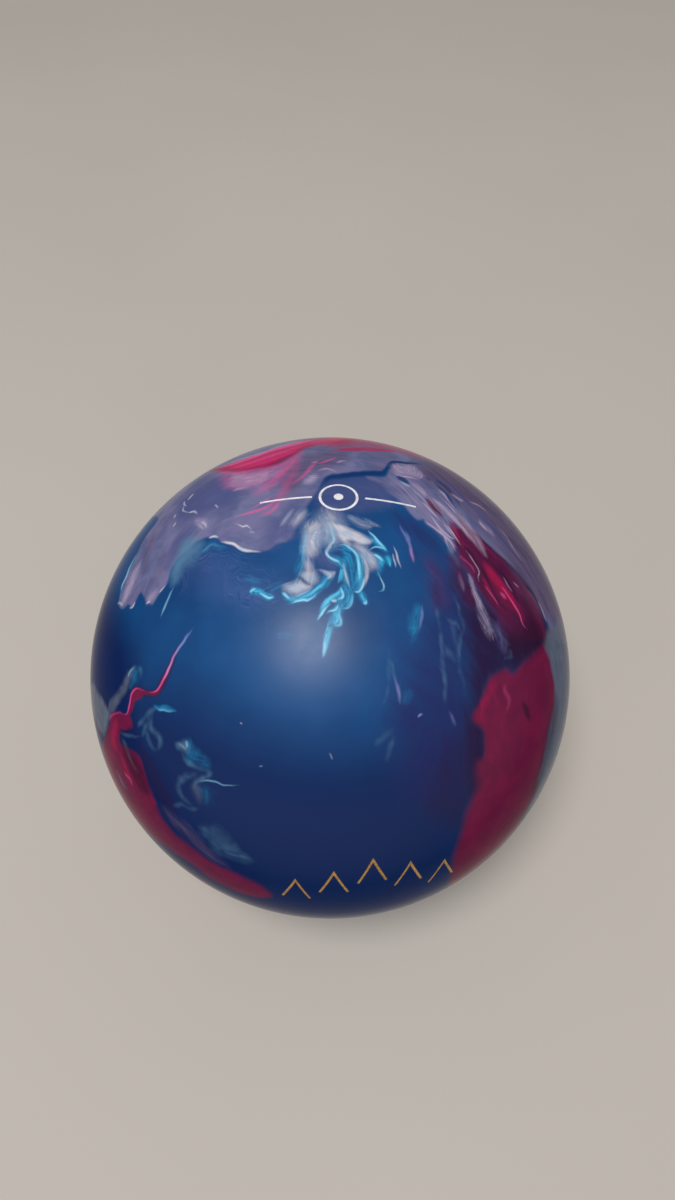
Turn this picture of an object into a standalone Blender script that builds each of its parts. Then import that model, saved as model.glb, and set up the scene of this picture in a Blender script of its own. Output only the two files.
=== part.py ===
"""Undrilled bowling ball: its cast pieces, its locator pin and its paint-filled engraving.

Metres, +Z up, origin at the centre of the ball. The viewer's side is -Y.
"""

import math

import bmesh
import bpy
from mathutils import Matrix, Vector

# Ball
BALL_DIAMETER = 0.2172
COVERSTOCK_THICKNESS = 0.020
BOND_GAP = 0.0003

# Weight block, turned about the pin axis
SPIGOT_RADIUS = 0.014
SPIGOT_LENGTH = 0.012
SHOULDER_WIDTH = 0.013
NECK_LENGTH = 0.006
BULB_SWELL = 0.019
BULB_HALF_LENGTH = 0.048
BULB_BELOW_CENTRE = 0.012
BASE_RADIUS = 0.020

# Flip block, a cap over the weight block's spigot
FLIP_WALL = 0.022
FLIP_WEB = 0.006
FLIP_EDGE_RADIUS = 0.006
LARGEST_EDGE_SHARE = 0.45

# Locator pin, on the same axis
PIN_DIAMETER = 0.00635
PIN_SEAT_DEPTH = 0.006
PIN_TILT = math.radians(54)
PIN_AZIMUTH = math.radians(90)

# Engraving and its paint fill
LINE_WIDTH = 0.0010
FILL_DEPTH = 0.0008
FILL_RECESS = 0.0001

# Five lane arrows low on the front
ARROW_COUNT = 5
ARROW_WIDTH = 0.011
ARROW_HEIGHT = 0.014
ARROW_SPACING = 0.0035
ARROW_STAGGER = 0.006
ARROWS_TILT = math.radians(74)
ARROWS_AZIMUTH = math.radians(-81)

# Balance mark on top: a ring, its centre dot and a sight line on each side
RING_DIAMETER = 0.014
DOT_DIAMETER = 0.0036
SIGHT_LENGTH = 0.020
SIGHT_SPACING = 0.003
BALANCE_TILT = math.radians(7)
BALANCE_AZIMUTH = math.radians(74)

# Mesh fineness
BALL_SEGMENTS = 64
CORE_SEGMENTS = 40
TURN_SEGMENTS = 36
PIN_SEGMENTS = 20
RING_SEGMENTS = 28
BULB_STEPS = 9
EDGE_STEPS = 4
STROKE_STEP = 0.004
CUT_MARGIN = 0.002
SMOOTH_ANGLE = math.radians(35)

# Sizes that follow from the driving ones
BALL_RADIUS = BALL_DIAMETER / 2
CAVITY_RADIUS = BALL_RADIUS - COVERSTOCK_THICKNESS
FILLER_RADIUS = CAVITY_RADIUS - BOND_GAP
PIN_RADIUS = PIN_DIAMETER / 2
PIN_BORE_RADIUS = PIN_RADIUS + BOND_GAP
NECK_RADIUS = SPIGOT_RADIUS + SHOULDER_WIDTH
BULB_RADIUS = NECK_RADIUS + BULB_SWELL
FLIP_RADIUS = SPIGOT_RADIUS + FLIP_WALL
FILL_TOP = BALL_RADIUS - FILL_RECESS
FILL_FLOOR = FILL_TOP - FILL_DEPTH
GROOVE_FLOOR = FILL_FLOOR - BOND_GAP
GROOVE_TOP = BALL_RADIUS + CUT_MARGIN

# Heights along the pin axis
BULB_CENTRE_Z = -BULB_BELOW_CENTRE
BASE_Z = BULB_CENTRE_Z - BULB_HALF_LENGTH * math.sqrt(1 - (BASE_RADIUS / BULB_RADIUS) ** 2)
NECK_Z = BULB_CENTRE_Z + BULB_HALF_LENGTH * math.sqrt(1 - (NECK_RADIUS / BULB_RADIUS) ** 2)
SHOULDER_Z = NECK_Z + NECK_LENGTH
SPIGOT_TOP_Z = SHOULDER_Z + SPIGOT_LENGTH
FLIP_FLOOR_Z = SHOULDER_Z + BOND_GAP
SOCKET_TOP_Z = SPIGOT_TOP_Z + BOND_GAP
PIN_SEAT_Z = SOCKET_TOP_Z + FLIP_WEB
FLIP_TOP_Z = PIN_SEAT_Z + PIN_SEAT_DEPTH


def clear_scene():
    for old in list(bpy.data.objects):
        bpy.data.objects.remove(old)


def material(name, colour, roughness, metallic=0.0):
    made = bpy.data.materials.new(name)
    made.use_nodes = True
    shader = made.node_tree.nodes["Principled BSDF"]
    shader.inputs["Base Color"].default_value = (*colour, 1.0)
    shader.inputs["Roughness"].default_value = roughness
    shader.inputs["Metallic"].default_value = metallic
    return made


def add_object(name, bm, parent=None):
    """Turn a bmesh into a named, smooth-shaded object."""
    bmesh.ops.recalc_face_normals(bm, faces=bm.faces)
    mesh = bpy.data.meshes.new(name)
    bm.to_mesh(mesh)
    bm.free()
    mesh.shade_smooth()
    mesh.set_sharp_from_angle(angle=SMOOTH_ANGLE)
    made = bpy.data.objects.new(name, mesh)
    made.parent = parent
    bpy.context.scene.collection.objects.link(made)
    return made


def axis_empty(name, tilt, azimuth):
    """An empty at the centre of the ball whose +Z points out at the given place, with its +X to the right."""
    outward = Vector((math.sin(tilt) * math.cos(azimuth), math.sin(tilt) * math.sin(azimuth), math.cos(tilt)))
    right = Vector((1, 0, 0)) - outward.x * outward
    right.normalize()
    up = outward.cross(right)
    empty = bpy.data.objects.new(name, None)
    empty.rotation_euler = Matrix((right, up, outward)).transposed().to_euler()
    bpy.context.scene.collection.objects.link(empty)
    return empty


def cut(target, cutter):
    """Take a cutter's shape out of a piece, and keep the cutter as a hidden guide."""
    boolean = target.modifiers.new(cutter.name, "BOOLEAN")
    boolean.operation = "DIFFERENCE"
    boolean.solver = "EXACT"
    boolean.object = cutter
    cutter.hide_render = True
    cutter.display_type = "WIRE"


def sphere(name, radius, segments):
    bm = bmesh.new()
    bmesh.ops.create_uvsphere(bm, u_segments=segments, v_segments=segments // 2, radius=radius)
    return add_object(name, bm)


def peg(name, radius, low, high, parent):
    """A round peg along its parent's +Z."""
    bm = bmesh.new()
    middle = Matrix.Translation((0, 0, (low + high) / 2))
    bmesh.ops.create_cone(bm, cap_ends=True, segments=PIN_SEGMENTS, radius1=radius, radius2=radius,
                          depth=high - low, matrix=middle)
    return add_object(name, bm, parent)


def turned(name, profile, parent):
    """Turn a profile of (radius, height) points, which starts and ends on the axis, about its parent's +Z."""
    bm = bmesh.new()
    rings = []
    for radius, height in profile[1:-1]:
        ring = []
        for step in range(TURN_SEGMENTS):
            angle = 2 * math.pi * step / TURN_SEGMENTS
            ring.append(bm.verts.new((radius * math.cos(angle), radius * math.sin(angle), height)))
        rings.append(ring)
    first = bm.verts.new((0, 0, profile[0][1]))
    last = bm.verts.new((0, 0, profile[-1][1]))
    for step in range(TURN_SEGMENTS):
        after = (step + 1) % TURN_SEGMENTS
        bm.faces.new((first, rings[0][step], rings[0][after]))
        bm.faces.new((last, rings[-1][after], rings[-1][step]))
        for below, above in zip(rings, rings[1:]):
            bm.faces.new((below[step], above[step], above[after], below[after]))
    return add_object(name, bm, parent)


def bulb_side():
    """The bulb's elliptical side, from the rim of its base up to the neck."""
    start = math.asin((BASE_Z - BULB_CENTRE_Z) / BULB_HALF_LENGTH)
    end = math.asin((NECK_Z - BULB_CENTRE_Z) / BULB_HALF_LENGTH)
    points = []
    for step in range(BULB_STEPS + 1):
        angle = start + (end - start) * step / BULB_STEPS
        points.append((BULB_RADIUS * math.cos(angle), BULB_CENTRE_Z + BULB_HALF_LENGTH * math.sin(angle)))
    return points


def flip_side():
    """The flip block's outer side, from its floor up to its top, with both edges rounded."""
    thinnest = min(FLIP_TOP_Z - FLIP_FLOOR_Z, FLIP_WALL)
    edge = min(FLIP_EDGE_RADIUS, LARGEST_EDGE_SHARE * thinnest)
    points = []
    for centre_z, start in ((FLIP_FLOOR_Z + edge, -math.pi / 2), (FLIP_TOP_Z - edge, 0)):
        for step in range(EDGE_STEPS + 1):
            angle = start + math.pi / 2 * step / EDGE_STEPS
            points.append((FLIP_RADIUS - edge + edge * math.cos(angle), centre_z + edge * math.sin(angle)))
    return points


def grown(profile, distance):
    """A profile moved outwards by one distance all along, which leaves that gap to the first one."""
    points = [(0, profile[0][1] - distance)]
    for before, here, after in zip(profile, profile[1:], profile[2:]):
        into = (Vector(here) - Vector(before)).normalized()
        out_of = (Vector(after) - Vector(here)).normalized()
        into_normal = Vector((into.y, -into.x))
        out_normal = Vector((out_of.y, -out_of.x))
        mitre = (into_normal + out_normal).normalized()
        moved = Vector(here) + mitre * distance / mitre.dot(into_normal)
        points.append((moved.x, moved.y))
    points.append((0, profile[-1][1] + distance))
    return points


def core_outline():
    """The outside of the weight block and flip block together, from bottom to top."""
    neck_end = (NECK_RADIUS, FLIP_FLOOR_Z)
    return [(0, BASE_Z), *bulb_side(), neck_end, *flip_side(), (0, FLIP_TOP_Z)]


def build_weight_block(axis):
    shoulder = (NECK_RADIUS, SHOULDER_Z)
    spigot = ((SPIGOT_RADIUS, SHOULDER_Z), (SPIGOT_RADIUS, SPIGOT_TOP_Z))
    block = turned("weight_block", [(0, BASE_Z), *bulb_side(), shoulder, *spigot, (0, SPIGOT_TOP_Z)], axis)
    block.data.materials.append(material("weight_block", (0.50, 0.30, 0.10), 0.6))


def build_flip_block(axis):
    socket_radius = SPIGOT_RADIUS + BOND_GAP
    socket = ((0, SOCKET_TOP_Z), (socket_radius, SOCKET_TOP_Z), (socket_radius, FLIP_FLOOR_Z))
    seat = ((PIN_BORE_RADIUS, FLIP_TOP_Z), (PIN_BORE_RADIUS, PIN_SEAT_Z), (0, PIN_SEAT_Z))
    block = turned("flip_block", [*socket, *flip_side(), *seat], axis)
    block.data.materials.append(material("flip_block", (0.08, 0.16, 0.12), 0.6))


def build_locator_pin(axis):
    pin = peg("locator_pin", PIN_RADIUS, PIN_SEAT_Z + BOND_GAP, FILL_TOP, axis)
    pin.data.materials.append(material("locator_pin", (0.75, 0.72, 0.62), 0.35))


def build_filler_core(axis, pin_bore):
    core = sphere("filler_core", FILLER_RADIUS, CORE_SEGMENTS)
    cut(core, turned("cut_core_cavity", grown(core_outline(), BOND_GAP), axis))
    cut(core, pin_bore)
    core.data.materials.append(material("filler_core", (0.55, 0.54, 0.50), 0.7))


def build_coverstock(pin_bore, grooves):
    cover = sphere("coverstock", BALL_RADIUS, BALL_SEGMENTS)
    cut(cover, sphere("cut_cover_cavity", CAVITY_RADIUS, CORE_SEGMENTS))
    cut(cover, pin_bore)
    for groove in grooves:
        cut(cover, groove)
    cover.data.materials.append(material("coverstock", (0.015, 0.07, 0.20), 0.3))


def on_ball(flat, radius):
    """Lay a point of a flat drawing, given in metres along the surface, on a sphere about the centre."""
    arc = flat.length
    if arc == 0:
        return Vector((0, 0, radius))
    sideways = flat.normalized() * math.sin(arc / BALL_RADIUS)
    return Vector((sideways.x, sideways.y, math.cos(arc / BALL_RADIUS))) * radius


def in_steps(path, closed):
    """Split a path's straight runs into steps short enough to follow the ball."""
    points = []
    corners = [Vector(corner) for corner in path]
    runs = list(zip(corners, corners[1:] + corners[:1]))
    if not closed:
        runs.pop()
    for start, end in runs:
        steps = math.ceil((end - start).length / STROKE_STEP)
        for step in range(steps):
            points.append(start.lerp(end, step / steps))
    if not closed:
        points.append(corners[-1])
    return points


def lengthened(path, extra):
    """An open path run on past both of its ends."""
    first, second = Vector(path[0]), Vector(path[1])
    before_last, last = Vector(path[-2]), Vector(path[-1])
    start = first + (first - second).normalized() * extra
    end = last + (last - before_last).normalized() * extra
    return [start, *path[1:-1], end]


def stroke(name, path, closed, width, floor, top, parent):
    """A line of one width drawn along a flat path, laid on the ball between two radii."""
    points = in_steps(path, closed)
    count = len(points)
    bm = bmesh.new()
    sections = []
    for index, here in enumerate(points):
        before = points[index - 1] if closed or index > 0 else None
        after = points[(index + 1) % count] if closed or index < count - 1 else None
        into = (here - before).normalized() if before else (after - here).normalized()
        out_of = (after - here).normalized() if after else into
        into_normal = Vector((-into.y, into.x))
        mitre = (into_normal + Vector((-out_of.y, out_of.x))).normalized()
        side = mitre * width / 2 / mitre.dot(into_normal)
        corners = ((side, floor), (side, top), (-side, top), (-side, floor))
        sections.append([bm.verts.new(on_ball(here + shift, radius)) for shift, radius in corners])
    following = sections[1:] + sections[:1] if closed else sections[1:]
    for section, after in zip(sections, following):
        for corner in range(4):
            beside = (corner + 1) % 4
            bm.faces.new((section[corner], section[beside], after[beside], after[corner]))
    if not closed:
        bm.faces.new(sections[0])
        bm.faces.new(sections[-1])
    return add_object(name, bm, parent)


def filled_stroke(name, path, closed, paint, parent):
    """A paint-filled engraved line: makes the fill, and returns the cutter of its groove."""
    fill = stroke(name, path, closed, LINE_WIDTH, FILL_FLOOR, FILL_TOP, parent)
    fill.data.materials.append(paint)
    groove_path = path if closed else lengthened(path, BOND_GAP)
    groove_width = LINE_WIDTH + 2 * BOND_GAP
    return stroke("cut_" + name, groove_path, closed, groove_width, GROOVE_FLOOR, GROOVE_TOP, parent)


def build_lane_arrows():
    axis = axis_empty("arrows_axis", ARROWS_TILT, ARROWS_AZIMUTH)
    gold = material("gold_paint", (0.62, 0.40, 0.12), 0.35, 0.6)
    grooves = []
    for number in range(ARROW_COUNT):
        from_middle = number - (ARROW_COUNT - 1) / 2
        x = from_middle * (ARROW_WIDTH + ARROW_SPACING)
        foot = -abs(from_middle) * ARROW_STAGGER - ARROW_HEIGHT / 2
        path = ((x - ARROW_WIDTH / 2, foot), (x, foot + ARROW_HEIGHT), (x + ARROW_WIDTH / 2, foot))
        grooves.append(filled_stroke(f"lane_arrow_fill_{number + 1}", path, False, gold, axis))
    return grooves


def build_balance_mark():
    axis = axis_empty("balance_axis", BALANCE_TILT, BALANCE_AZIMUTH)
    white = material("white_paint", (0.80, 0.80, 0.80), 0.5)
    circle = []
    for step in range(RING_SEGMENTS):
        angle = 2 * math.pi * step / RING_SEGMENTS
        circle.append((RING_DIAMETER / 2 * math.cos(angle), RING_DIAMETER / 2 * math.sin(angle)))
    grooves = [filled_stroke("balance_ring_fill", circle, True, white, axis)]
    inner_end = RING_DIAMETER / 2 + SIGHT_SPACING
    for name, side in (("left", -1), ("right", 1)):
        path = ((side * inner_end, 0), (side * (inner_end + SIGHT_LENGTH), 0))
        grooves.append(filled_stroke(f"sight_line_fill_{name}", path, False, white, axis))
    dot = peg("balance_dot_fill", DOT_DIAMETER / 2, FILL_FLOOR, FILL_TOP, axis)
    dot.data.materials.append(white)
    grooves.append(peg("cut_balance_dot", DOT_DIAMETER / 2 + BOND_GAP, GROOVE_FLOOR, GROOVE_TOP, axis))
    return grooves


def main():
    clear_scene()
    core_axis = axis_empty("core_axis", PIN_TILT, PIN_AZIMUTH)
    build_weight_block(core_axis)
    build_flip_block(core_axis)
    build_locator_pin(core_axis)
    pin_bore = peg("cut_pin_bore", PIN_BORE_RADIUS, 0, GROOVE_TOP, core_axis)
    build_filler_core(core_axis, pin_bore)
    build_coverstock(pin_bore, build_lane_arrows() + build_balance_mark())


main()
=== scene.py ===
"""Looks of an undrilled bowling ball: poured marbling, filled engraving, cast core, floor, light and camera.

Metres and +Z up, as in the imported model. A name that ends in MM is in millimetres. The viewer's side is -Y.
The marbling is drawn as places in the 675 by 1200 picture frame and laid on the ball through the camera.
"""

import math
from collections import namedtuple

import bmesh
import bpy
import numpy as np
from mathutils import Matrix, Vector


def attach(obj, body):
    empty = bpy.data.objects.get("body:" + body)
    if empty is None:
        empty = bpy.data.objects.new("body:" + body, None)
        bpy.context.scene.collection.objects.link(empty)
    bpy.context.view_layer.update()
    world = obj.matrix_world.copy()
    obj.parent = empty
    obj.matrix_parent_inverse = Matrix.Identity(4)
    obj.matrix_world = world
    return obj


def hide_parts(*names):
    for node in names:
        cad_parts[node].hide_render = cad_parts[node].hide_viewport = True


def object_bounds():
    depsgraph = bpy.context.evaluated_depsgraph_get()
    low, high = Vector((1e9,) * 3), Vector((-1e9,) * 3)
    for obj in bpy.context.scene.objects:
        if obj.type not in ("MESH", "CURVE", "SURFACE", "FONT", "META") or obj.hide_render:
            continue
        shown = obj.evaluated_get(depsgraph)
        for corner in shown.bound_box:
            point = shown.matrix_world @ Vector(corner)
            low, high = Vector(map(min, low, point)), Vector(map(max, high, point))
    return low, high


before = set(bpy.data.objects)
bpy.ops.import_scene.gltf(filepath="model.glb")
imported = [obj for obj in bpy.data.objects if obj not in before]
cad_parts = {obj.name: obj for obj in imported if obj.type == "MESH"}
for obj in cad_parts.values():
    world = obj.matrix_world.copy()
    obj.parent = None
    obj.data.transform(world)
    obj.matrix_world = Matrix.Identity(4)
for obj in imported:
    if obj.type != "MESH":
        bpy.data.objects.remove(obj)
cad_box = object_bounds()

# Picture frame and camera
FRAME_WIDTH = 675
FRAME_HEIGHT = 1200
LENS_MM = 25
SENSOR_MM = 36
CAMERA_PLACE = (0.00325, -0.19927, 0.34017)
CAMERA_PITCH = math.radians(54.7)
CAMERA_NEAR = 0.01

# The ball's outline in the picture frame, in pixels, and how places drawn beyond it go on round the back
OUTLINE_CENTRE = (330, 678)
OUTLINE_RADIUS = 239
BACK_DEGREES_PER_PIXEL = 0.5

# Where the swirls of the back set in, in degrees from the point that faces the camera
BACK_STARTS = 78
BACK_FADE = 16

# Sizes of the ball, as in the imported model
MM_PER_METRE = 1000
BALL_RADIUS = (cad_box[1].z - cad_box[0].z) / 2
BALL_RADIUS_MM = BALL_RADIUS * MM_PER_METRE
COVERSTOCK_THICKNESS = 0.020
PIN_RADIUS = 0.003175
PIN_TILT = math.radians(54)
PIN_AZIMUTH = math.radians(90)
PIN_CHAMFER = 0.0004
PIN_TOP_STEPS = 4

# Engraved lines and their paint
LINE_WIDTH = 0.0010
GROOVE_DEPTH = 0.0009
PAINT_RECESS = 0.0001
PAINT_DIP = 0.00008
FIT_GAP = 0.00002
STROKE_STEP = 0.002
CUT_MARGIN = 0.002
CUT_TOP = BALL_RADIUS + CUT_MARGIN
PAINT_TOP = BALL_RADIUS - PAINT_RECESS
GROOVE_FOOT = BALL_RADIUS - GROOVE_DEPTH

# Lane arrows low on the front
ARROW_COUNT = 5
ARROW_WIDTH = 0.011
ARROW_HEIGHT = 0.014
ARROW_SPACING = 0.0035
ARROW_STAGGER = 0.006
ARROWS_TILT = math.radians(74)
ARROWS_AZIMUTH = math.radians(-81)

# Balance mark on top
RING_DIAMETER = 0.014
DOT_DIAMETER = 0.0036
SIGHT_LENGTH = 0.020
SIGHT_SPACING = 0.003
BALANCE_TILT = math.radians(7)
BALANCE_AZIMUTH = math.radians(74)

# Fineness of the meshes
BALL_SUBDIVISIONS = 6
CAVITY_SEGMENTS = 96
ROUND_SEGMENTS = 64
SHARP_ANGLE = math.radians(35)

# How long the cover's edges may be: far from drawn shapes, near soft ones, near crisp ones and near fine lines
COARSE_EDGE_MM = 4.2
SOFT_EDGE_MM = 2.1
CRISP_EDGE_MM = 1.05
FINE_EDGE_MM = 0.55

# Shapes softer than the first are soft, and lines no softer than the second are fine
SOFT_ABOVE_MM = 3
FINE_UP_TO_MM = 0.8

# How often faces are split, and how many times too long an edge has to be for that
REFINE_PASSES = 3
REFINE_ABOVE = 1.35

# How far from a drawn edge the mesh is fine, and how far its depth is followed, in units of its softness
REFINE_REACH = 2.2
FIELD_LIMIT = 3.0

# Waves that make drawn edges wander: length and size in millimetres, and the largest shift in radians
WAVES_MM = ((17, 0.45), (9, 0.25), (4.6, 0.12))
WAVES_PER_LENGTH = 5
WAVES_SEED = 4
WAVES_SHIFT = 6

# Drawn curves: steps from one point to the next, a line's widest half-width, how late its ends thin out, and
# how far they fade, in units of its softness
SMOOTH_STEPS = 4
WIDEST_MM = 5
END_POWER = 3
END_FADE = 0.6
TINY = 1e-9

# The cover's finish: how strongly it mirrors, where 0.5 is plain glass, face on and edge on, how rough it is
# face on, and the share of that left edge on. The ranges say where turning edge on, from 0 to 1, sets in.
COVER_GLOSS = 0.29
EDGE_GLOSS = 0.012
GLOSS_RANGE = (0.12, 0.55)
COVER_ROUGHNESS = (0.35, 0.41)
EDGE_POLISH = 0.4
POLISH_RANGE = (0.5, 0.9)

# The middle share of a swirl round the back that is covered fully
SWIRL_CORE = 0.4

# Floor and light
FLOOR_SIDE = 8.0
KEY_DIRECTION = (-0.140, -0.303, 0.943)
KEY_DISTANCE = 3.0
KEY_SIZE = 1.2
KEY_POWER = 74
FILL_STRENGTH = 0.32

# One drawn shape: how soft its edge is in millimetres, how much it covers at most, and its (x, y) points.
# A line also has half its width in pixels, and thins out at both ends.
Area = namedtuple("Area", "softness cover points")
Line = namedtuple("Line", "softness cover width points")

# The bright vein on the left, which runs down into the crimson
VEIN = (
    (183, 644), (180, 647.5), (174.3, 655), (169.8, 666.5), (166, 676), (162.8, 683.7), (159.6, 690),
    (153.9, 693.9), (145.6, 692.6), (137.9, 690.7), (134, 693.3), (132.2, 699.6), (130.3, 708), (127, 716),
)

# The dark wedge in the frayed pearl
WEDGE = ((424, 497), (430, 502.5), (436, 509), (443.5, 518))

# Deep blue down the left side and over the lower front: mostly painted shade where the ball turns from the
# light on the left and darkens towards the bottom, with a painted shadow over the lower front, and a small
# near-black patch among the lower-left wisps
NAVY_AND_PAINTED_SHADE = (
    # Painted shade down the left side and round the lower left
    Area(14, 1.0, (
        (80, 560), (112, 600), (136, 650), (148, 710), (172, 785), (230, 845), (290, 880), (270, 930),
        (180, 910), (100, 830), (60, 740), (60, 620))),
    # Painted shadow over the lower front
    Area(12, 0.85, (
        (250, 806), (330, 800), (420, 800), (472, 790), (478, 830), (450, 890), (400, 930), (330, 940),
        (270, 920), (240, 880))),
    # Painted shade, darker towards the bottom
    Area(20, 0.9, (
        (130, 690), (190, 700), (250, 730), (330, 748), (430, 735), (475, 750), (470, 850), (400, 930),
        (300, 930), (200, 880), (140, 800))),
    # Painted shade low on the right
    Area(10, 0.4, ((435, 700), (470, 700), (470, 790), (440, 830), (410, 790), (410, 740))),
    Area(6, 0.95, ((136, 738), (160, 752), (178, 775), (188, 800), (178, 816), (160, 800), (146, 775))),
)

# Violet cast in the blue on the right
VIOLET = (
    Area(10, 0.64, (
        (424, 552), (444, 552), (466, 590), (474, 640), (470, 700), (470, 760), (450, 800), (408, 790),
        (398, 750), (390, 720), (398, 690), (409, 650), (422, 620), (429, 590))),
    Line(4, 0.45, 5, ((404, 508), (410, 530), (414, 548), (420, 566))),
    Line(4, 0.6, 9, ((388, 508), (404, 522), (418, 533), (432, 546), (446, 562))),
)

# Dark plum beside the crimson
PLUM = (
    Area(6, 0.95, (
        (458, 562), (470, 578), (482, 594), (496, 606), (512, 618), (530, 626), (546, 634), (550, 650),
        (530, 661), (516, 676), (500, 674), (488, 686), (484, 704), (484, 716), (490, 732), (490, 760),
        (482, 790), (470, 800), (462, 760), (465, 720), (470, 690), (469, 650), (462, 610), (453, 580))),
    Area(1.2, 0.95, (
        (449, 521), (455, 529), (461, 527), (465, 524.5), (474, 533), (484, 542), (496, 553.5),
        (508, 564.5), (518, 575.5), (527, 587), (535, 599.5), (541, 611), (546, 623), (548, 636),
        (546, 650), (534, 650), (520, 636), (505, 622), (493, 610), (483, 596), (473, 578), (463, 560),
        (456, 546), (451, 533))),
    Area(8, 0.5, ((446, 744), (472, 735), (480, 790), (462, 822), (430, 812), (436, 776))),
    Line(4, 0.5, 5, ((136, 738), (146, 760), (156, 782), (168, 804), (178, 816))),
    Line(3, 0.45, 3, ((432, 572), (435, 585), (437, 600), (436, 612))),
    Line(1.2, 0.8, 3.2, VEIN),
    Line(1.5, 0.8, 2.5, ((118, 731), (126, 731), (134, 728))),
)

# Pearl grey over the top, down the left and down the right
PEARL = (
    Area(0.9, 1.0, (
        (119, 603), (122.6, 609.3), (128, 604.4), (131.8, 607), (134.6, 603), (140, 593), (143, 595.5),
        (148, 603), (152, 605), (155.6, 599), (160.5, 591), (165.4, 585.4), (168.2, 579), (171, 569.3),
        (180, 556.7), (190.7, 547.5), (197.7, 541.5), (208, 537), (218, 538), (224, 541), (235, 544.4),
        (243.6, 550), (254, 552.4), (262, 552), (269.4, 550), (277.5, 544.4), (286.7, 541), (292.4, 535),
        (295.3, 528.3), (299.3, 523.7), (304.5, 512.2), (310, 500), (322, 484), (331, 476), (352, 472),
        (380, 472), (388, 464), (420, 462), (450, 440), (470, 400), (420, 360), (330, 345), (240, 355),
        (180, 390), (140, 445), (140, 500), (158, 518), (148, 533.5), (141, 544), (136.7, 554.6),
        (130.4, 569.3), (125.4, 577.7), (122, 586), (120.5, 593))),
    Area(1.0, 1.0, (
        (366, 477), (380, 485), (389, 492.6), (394, 496), (403, 504.7), (409.6, 512.4), (419, 519.4),
        (424.3, 519), (427, 524), (435, 531), (441.5, 537.3), (446.6, 544.3), (452, 553), (455, 546),
        (449, 535), (450, 524), (458, 520), (465.7, 524.2), (474.6, 532), (482.3, 539.5), (493.8, 550.4),
        (503.3, 559.3), (513, 569), (522.5, 581), (530, 589.3), (538.4, 603.2), (543.5, 613.4),
        (548, 624.2), (556, 640), (600, 640), (615, 580), (580, 500), (520, 430), (450, 410), (425, 440),
        (392, 467), (385, 476))),
)

# Mauve tinge in the pearl and at the lower left
MAUVE = (
    Area(8, 0.95, (
        (418, 470), (450, 492), (482, 525), (512, 568), (538, 612), (590, 620), (600, 560), (560, 490),
        (500, 440), (450, 430))),
    Line(2.5, 0.5, 2.4, ((156, 527), (151, 540), (147, 553), (144, 567), (142, 584))),
    Line(3.5, 0.3, 4, ((166, 545), (163, 558), (158, 572), (152, 588))),
    Area(4, 0.7, (
        (286, 470), (300, 456), (330, 451), (350, 456), (330, 468), (310, 474), (298, 488), (284, 496))),
    Line(4, 0.6, 3, ((160, 804), (172, 818), (184, 828), (197, 842), (212, 856), (232, 869))),
)

# Dusky blue in the pearl
DUSK = (
    Area(6, 0.8, (
        (196, 480), (212, 476), (232, 484), (236, 498), (222, 508), (204, 514), (186, 520), (176, 512))),
    Area(4, 0.7, ((270, 520), (284, 512), (300, 500), (304, 512), (296, 530), (282, 542), (268, 546))),
    Area(4, 0.7, (
        (314, 492), (330, 479), (360, 477), (384, 480), (394, 492), (396, 502), (380, 510), (350, 510),
        (322, 512))),
    Area(3, 0.7, ((315, 553), (325, 551), (334, 556), (338, 563), (330, 568), (320, 567), (314, 561))),
    Line(4, 0.7, 5, ((196, 520), (184, 536), (172, 556), (166, 572))),
    Line(2.5, 0.5, 3, ((466, 500), (486, 520), (500, 538), (516, 558))),
    Line(2.5, 0.5, 3, ((430, 474), (446, 484), (460, 496), (474, 510))),
)

# Fine strands where the pearl ends beside the balance mark
FRAY = (
    Area(3, 0.2, (
        (396, 482), (412, 484), (432, 496), (448, 510), (452, 524), (449, 540), (438, 528), (422, 510),
        (408, 498))),
)

# Grey mist, most of it at the far left and right
MIST = (
    Area(1.6, 0.6, (
        (135, 667), (129.6, 672), (125.8, 678), (121, 687), (116, 695), (110, 702), (109, 709), (112, 713),
        (117, 704), (122, 697), (127, 688), (131, 679))),
    Area(2.0, 0.85, (
        (93, 684), (99.7, 695.8), (103.5, 702.8), (108, 709), (111, 714), (108, 722), (104.5, 736),
        (100, 730), (94, 714), (84, 690))),
    Area(2.4, 0.85, (
        (549, 630), (544, 642), (543, 653), (547, 668), (551, 690), (551, 720), (545, 750), (536, 780),
        (520, 812), (540, 800), (568, 745), (580, 690), (578, 650), (565, 622))),
    Line(1.4, 0.55, 1.6, ((448, 546), (452, 554), (456, 559), (461, 571))),
    Line(2.4, 0.42, 2.2, ((196.5, 778), (195.5, 787), (197.5, 796), (199.5, 808))),
)

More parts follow.
